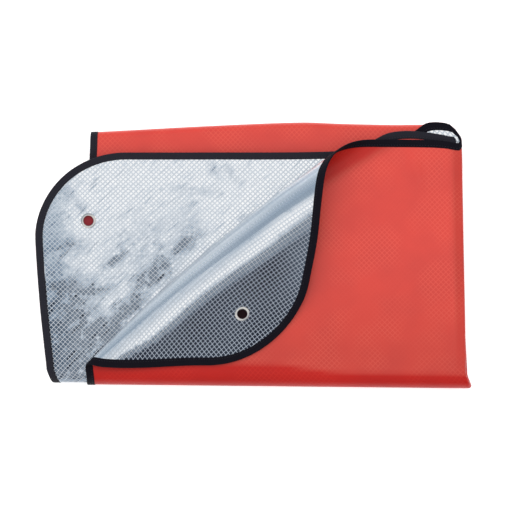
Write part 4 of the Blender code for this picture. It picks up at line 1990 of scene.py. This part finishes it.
@dataclass
class EdgeBinding:
    """The tape folded round the sheet's rim, and the stitching that holds it."""

    folds: Folds
    corner_steps: int = 30
    turn_steps: int = 10
    spacing: float = 5.5 * MM
    # Points of the rim that lie nearer together than this count as one
    closest: float = 0.05 * MM
    # Reach beyond the rim and height from the sheet's middle, round the tape's section, in mm
    section: tuple[tuple[float, float], ...] = (
        (-10.0, 0.62),
        (-9.9, 0.95),
        (-8.6, 1.04),
        (-7.2, 0.90),
        (-5.6, 1.06),
        (-3.0, 1.10),
        (-0.9, 1.06),
        (0.05, 0.90),
        (0.45, 0.55),
        (0.60, 0.0),
        (0.45, -0.55),
        (0.05, -0.90),
        (-0.9, -1.06),
        (-3.0, -1.10),
        (-5.6, -1.06),
        (-7.2, -0.90),
        (-8.6, -1.04),
        (-9.9, -0.95),
        (-10.0, -0.62),
        (0.2, -0.58),
        (0.2, 0.58),
    )
    # Stitches 3 mm long, 4 mm apart, sunk in a line 7.2 mm in from the rim
    stitch_length: float = 3.0 * MM
    stitch_spacing: float = 4.0 * MM
    stitch_inset: float = 7.2 * MM
    stitch_half_width: float = 0.32 * MM
    stitch_base: float = 0.88 * MM
    stitch_rise: float = 0.24 * MM
    stitch_sink: float = 0.1 * MM
    # How far across from the upper side the tape's underside lies in its UVs, in mm
    under_offset: float = 25.0
    fine_spans: tuple[tuple[int, float, float, float], ...] = (
        # Side (0 at v 0, 3 at u 0), from and to in mm along it, spacing in mm
        (3, 280.0, 352.0, 1.6),
        (0, 290.0, 470.0, 3.0),
    )

    def side_positions(self, side: int) -> list[float]:
        """Gives the positions along one straight side, in metres from its corner at u or v 0.

        Args:
            side: its number, counted round the rim from the side at v 0.

        Returns:
            The positions in order.
        """
        path = self.folds.leaves if side % 2 == 0 else self.folds.panels
        low, high = self.folds.corner_radius, path.total - self.folds.corner_radius
        found = {low, high}
        for i, length in enumerate(path.lengths):
            begin = path.flat(i)
            count = self.turn_steps if i % 2 else max(1, round(length / self.spacing))
            found |= {begin + length * k / count for k in range(count + 1)}
        for which, begin, end, step in self.fine_spans:
            if which == side:
                found = {p for p in found if not begin * MM < p < end * MM}
                count = round((end - begin) / step)
                found |= {lerp(begin, end, k / count) * MM for k in range(count + 1)}
        kept: list[float] = []
        for p in sorted(found):
            if low <= p <= high and (not kept or p - kept[-1] > self.closest):
                kept.append(p)
        return kept

    def rim(self) -> list[tuple[Vector, Vector]]:
        """Gives points in order round the rim, each with its outward direction.

        Returns:
            Each point and its direction.
        """
        length, width = self.folds.leaves.total, self.folds.panels.total
        radius = self.folds.corner_radius
        sides = (
            [(Vector((p, 0)), Vector((0, -1))) for p in self.side_positions(0)],
            [(Vector((length, p)), Vector((1, 0))) for p in self.side_positions(1)],
            [(Vector((p, width)), Vector((0, 1))) for p in reversed(self.side_positions(2))],
            [(Vector((0, p)), Vector((-1, 0))) for p in reversed(self.side_positions(3))],
        )
        centres = (
            Vector((length - radius, radius)),
            Vector((length - radius, width - radius)),
            Vector((radius, width - radius)),
            Vector((radius, radius)),
        )
        points = []
        for i, (side, centre) in enumerate(zip(sides, centres)):
            points.extend(side)
            for k in range(1, self.corner_steps):
                angle = (i - 1 + k / self.corner_steps) * math.pi / 2
                out = Vector((math.cos(angle), math.sin(angle)))
                points.append((centre + out * radius, out))
        return points

    def build_tape(self, material: bpy.types.Material) -> bpy.types.Object:
        """Makes the folded tape.

        Args:
            material: its finish.

        Returns:
            The tape's object.
        """
        mesh = FlatMesh()
        rings = []
        for point, out in self.rim():
            rings.append(
                mesh.ring(
                    (point.x + out.x * r * MM, point.y + out.y * r * MM, w * MM)
                    for r, w in self.section
                )
            )
        for i, ring in enumerate(rings):
            before = rings[i - 1]
            for k, corner in enumerate(ring):
                mesh.face((before[k], before[k - 1], ring[k - 1], corner))
        made = mesh.build("edge_binding", self.folds.folded, (material,))
        self.run_along(made)
        lightened = [self.lightened(point) for point, _ in self.rim() for _ in self.section]
        set_measure(made, "lightened", lightened)
        return made

    def lightened(self, point: Vector) -> float:
        """Gives how much lighter and glossier the tape is made: not at all on the first two leaves
        of the top panel.

        Args:
            point: a point of the rim.

        Returns:
            A share from 0 to 1.
        """
        leaves, panels = self.folds.leaves, self.folds.panels
        over = smooth_step((point.x - leaves.flat(3)) / leaves.lengths[3])
        return max(over, smooth_step((point.y - panels.flat(1)) / panels.lengths[1]))

    def run_along(self, tape: bpy.types.Object) -> None:
        """Gives the tape UVs that run along its length and across its width.

        Args:
            tape: the folded tape.
        """
        along = [0.0]
        rim = self.rim()
        for (a, _), (b, _) in zip(rim, [*rim[1:], rim[0]]):
            along.append(along[-1] + (b - a).length)
        size = len(self.section)
        layer = tape.data.uv_layers[FLAT_UV]
        for polygon in tape.data.polygons:
            stations = [tape.data.loops[i].vertex_index // size for i in polygon.loop_indices]
            closing = max(stations) - min(stations) > 1
            for i, station in zip(polygon.loop_indices, stations):
                place = along[-1] if closing and station == 0 else along[station]
                across, rise = self.section[tape.data.loops[i].vertex_index % size]
                if rise <= 0:
                    across += self.under_offset
                layer.data[i].uv = (place, across * MM)

    def build_stitches(self, material: bpy.types.Material) -> bpy.types.Object:
        """Makes the stitches on both faces of the tape.

        Args:
            material: its finish.

        Returns:
            The stitches' object.
        """
        rim = self.rim()
        mesh = FlatMesh()
        due = 0.0
        for (a, out_a), (b, out_b) in zip(rim, [*rim[1:], rim[0]]):
            length = (b - a).length
            while due < length:
                t = due / length
                out = (out_a * (1 - t) + out_b * t).normalized()
                centre = a.lerp(b, t) - out * self.stitch_inset
                self.add_stitch(mesh, centre, out)
                due += self.stitch_spacing
            due -= length
        return mesh.build("binding_stitches", self.folds.folded, (material,))

    def add_stitch(self, mesh: FlatMesh, centre: Vector, out: Vector) -> None:
        """Adds one stitch on each face of the tape.

        Args:
            mesh: the mesh to add to.
            centre: the stitch's middle, on the flat sheet.
            out: the rim's outward direction there.
        """
        along = Vector((-out.y, out.x)) * self.stitch_length / 2
        across = out * self.stitch_half_width
        around = [centre + step for step in (along, across, -along, -across)]
        for face in (1, -1):
            ring = mesh.ring((p.x, p.y, face * self.stitch_base) for p in around)
            top, low = mesh.ring(
                (centre.x, centre.y, face * (self.stitch_base + rise))
                for rise in (self.stitch_rise, -self.stitch_sink)
            )
            for k in range(len(ring)):
                corners = (ring[k - 1], ring[k])
                if face > 0:
                    corners = corners[::-1]
                mesh.face((*corners, top))
                mesh.face((*corners[::-1], low))


@dataclass
class RolledEyelet:
    """A two-part metal eyelet, a flanged barrel rolled over a washer."""

    place: EyeletPlace
    folds: Folds
    steps: int = 56
    sharp_angle: float = math.radians(60.0)
    # The sheet's slope is taken this far on either side of the centre
    probe: float = 1.0 * MM
    # Radius and height of the profile on the flanged side, then on the washer's side, in mm
    profile: tuple[tuple[float, float], ...] = (
        (7.02, 0.0),
        (7.02, 0.80),
        (7.10, 1.15),
        (7.35, 1.40),
        (7.80, 1.50),
        (8.60, 1.48),
        (9.50, 1.26),
        (10.20, 0.92),
        (10.48, 0.62),
        (10.44, 0.46),
        (8.20, 0.46),
        (7.60, 0.46),
        (7.60, -0.46),
        (8.20, -0.46),
        (10.40, -0.46),
        (10.48, -0.60),
        (10.40, -0.78),
        (9.20, -0.95),
        (8.75, -1.05),
        (8.60, -1.30),
        (8.20, -1.46),
        (7.70, -1.48),
        (7.25, -1.36),
        (7.04, -1.05),
    )

    def frame(self) -> Matrix:
        """Gives the eyelet's place in the folded blanket, with the sheet's normal as Z.

        Returns:
            The matrix from the eyelet to the blanket.
        """
        u, v = self.place.flat(self.folds)
        step, folded = self.probe, self.folds.folded
        along = (folded(u + step, v, 0) - folded(u - step, v, 0)).normalized()
        across = folded(u, v + step, 0) - folded(u, v - step, 0)
        normal = along.cross(across).normalized()
        made = Matrix((along, normal.cross(along), normal)).transposed().to_4x4()
        made.translation = folded(u, v, 0)
        return made

    def build(self, material: bpy.types.Material) -> bpy.types.Object:
        """Makes the eyelet.

        Args:
            material: its finish.

        Returns:
            The eyelet's object.
        """
        bm = bmesh.new()
        rings = []
        for k in range(self.steps):
            angle = math.tau * k / self.steps
            rings.append(
                [
                    bm.verts.new((r * math.cos(angle) * MM, r * math.sin(angle) * MM, z * MM))
                    for r, z in self.profile
                ]
            )
        for i, ring in enumerate(rings):
            for k, vert in enumerate(ring):
                bm.faces.new((rings[i - 1][k], vert, ring[k - 1], rings[i - 1][k - 1]))
        bmesh.ops.recalc_face_normals(bm, faces=bm.faces)
        bm.transform(self.frame())
        mesh = bpy.data.meshes.new(self.place.name)
        bm.to_mesh(mesh)
        bm.free()
        mesh.materials.append(material)
        mesh.shade_smooth()
        mesh.set_sharp_from_angle(angle=self.sharp_angle)
        return add_object(self.place.name, mesh)


# Studio


@dataclass
class Studio:
    """The pale floor, the soft light and the camera."""

    floor_size: float = 12.0
    floor_colour: str = "#FBFBFA"
    floor_roughness: float = 0.9
    floor_specular: float = 0.1
    # The floor is a white table lit softly from below
    floor_glow: float = 0.45
    backdrop_colour: str = "#F7F8F9"
    # Where the camera looks, and how wide a field it sees there
    aim: tuple[float, float, float] = (9.4 * MM, -7.7 * MM, 45.0 * MM)
    field_width: float = 724.9 * MM
    distance: float = 6.0
    elevation: float = 88.0
    sensor: float = 36.0
    # The direction, in plan, towards which the sky darkens
    dark_towards: tuple[float, float, float] = (0.651, -0.759, 0.0)
    sky: tuple[tuple[float, str], ...] = (
        (0.00, "#BAC4CE"),
        (0.07, "#CBD5DE"),
        (0.13, "#C4CFDA"),
        (0.20, "#AEBBC7"),
        (0.27, "#A2AFBC"),
        (0.33, "#B4C0CB"),
        (0.40, "#E6EBF0"),
        (0.44, "#FEFEFE"),
        (0.82, "#FEFEFE"),
        (0.90, "#7D8795"),
        (1.00, "#5A6371"),
    )
    # The overhead light: strength, and apparent size and tilts in degrees
    light_energy: float = 1.8
    light_size: float = 75.0
    light_tilts: tuple[float, float, float] = (-22.0, -12.0, 0.0)
    view_end: float = 50.0

    def build_floor(self) -> None:
        """Makes the floor and its finish."""
        half = self.floor_size / 2
        mesh = bpy.data.meshes.new("floor")
        corners = [(-half, -half, 0), (half, -half, 0), (half, half, 0), (-half, half, 0)]
        mesh.from_pydata(corners, [], [(0, 1, 2, 3)])
        made, tree = new_material("matt_white_paper")
        finish_material(
            tree,
            {
                "Base Color": linear(self.floor_colour),
                "Roughness": self.floor_roughness,
                "Specular IOR Level": self.floor_specular,
                "Emission Color": linear(self.floor_colour),
                "Emission Strength": self.floor_glow,
            },
        )
        mesh.materials.append(made)
        floor = add_object("floor", mesh)

    def build_sky(self) -> None:
        """Makes the studio's surroundings: bright overhead, pale on one side, dim on the other."""
        world = bpy.data.worlds.new("studio")
        bpy.context.scene.world = world
        world.use_nodes = True
        tree = world.node_tree
        tree.nodes.clear()
        add = partial(add_node, tree)
        place = add("TexCoord")
        side = add(
            "VectorMath",
            {0: place.outputs["Generated"], 1: self.dark_towards},
            operation="DOT_PRODUCT",
        )
        share = add("Math", {0: side.outputs["Value"], 1: 0.5, 2: 0.5}, operation="MULTIPLY_ADD")
        ramp = add("ValToRGB", {0: share})
        set_stops(ramp, self.sky)
        lit = add("Background", {"Color": ramp, "Strength": 1.0})
        seen = add("Background", {"Color": linear(self.backdrop_colour)})
        path = add("LightPath")
        both = add("MixShader", {0: path.outputs["Is Camera Ray"], 1: lit, 2: seen})
        add("OutputWorld", {"Surface": both})

    def build_lights(self) -> None:
        """Makes a broad overhead light that fills the scene without showing in the film."""
        data = bpy.data.lights.new("overhead", "SUN")
        data.energy = self.light_energy
        data.angle = math.radians(self.light_size)
        light = add_object("overhead", data)
        light.rotation_euler = [math.radians(tilt) for tilt in self.light_tilts]
        light.visible_glossy = False

    def build_camera(self) -> None:
        """Makes the camera, nearly straight above the blanket."""
        data = bpy.data.cameras.new("camera")
        data.sensor_width = self.sensor
        data.lens = self.sensor * self.distance / self.field_width
        data.clip_end = self.view_end
        camera = add_object("camera", data)
        angle = math.radians(self.elevation)
        back = Vector((0, -math.cos(angle), math.sin(angle)))
        camera.location = Vector(self.aim) + back * self.distance
        camera.rotation_euler = (math.radians(90 - self.elevation), 0, 0)
        bpy.context.scene.camera = camera

    def build(self) -> None:
        """Makes the whole studio."""
        self.build_camera()
        self.build_floor()
        self.build_sky()
        self.build_lights()
        bpy.context.scene.view_settings.view_transform = "Standard"


def report(piece: bpy.types.Object) -> None:
    """Logs a piece with its number of faces."""
    LOG.info("%s: %d faces", piece.name, len(piece.data.polygons))


def main() -> None:
    """Builds the blanket and its studio round the frame."""
    logging.basicConfig(level=logging.INFO, format="%(name)s %(message)s")
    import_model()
    Studio().build()
    folds = Folds()
    eyes = [place.flat(folds) for place in EYELETS]
    states = Relief(folds, eyes), SilverState(folds), RedFoldShade(folds)
    sheet = LaminateSheet(folds, *states).build(
        RedLaminate().material(), MetallisedFilm().material()
    )
    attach(sheet, ROOT)
    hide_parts("cloth")
    binding = EdgeBinding(folds)
    tape = binding.build_tape(BindingTape().material())
    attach(tape, ROOT)
    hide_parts("edge_tape")
    stitches = binding.build_stitches(SewingThread().material())
    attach(stitches, ROOT)
    pieces = [tape, stitches]
    metal = RolledEyeletMetal().material()
    for place in EYELETS:
        eyelet = RolledEyelet(place, folds).build(metal)
        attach(eyelet, ROOT)
        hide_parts(place.node)
        pieces.append(eyelet)
    for piece in [sheet, *pieces]:
        report(piece)


if __name__ == "__main__":
    main()
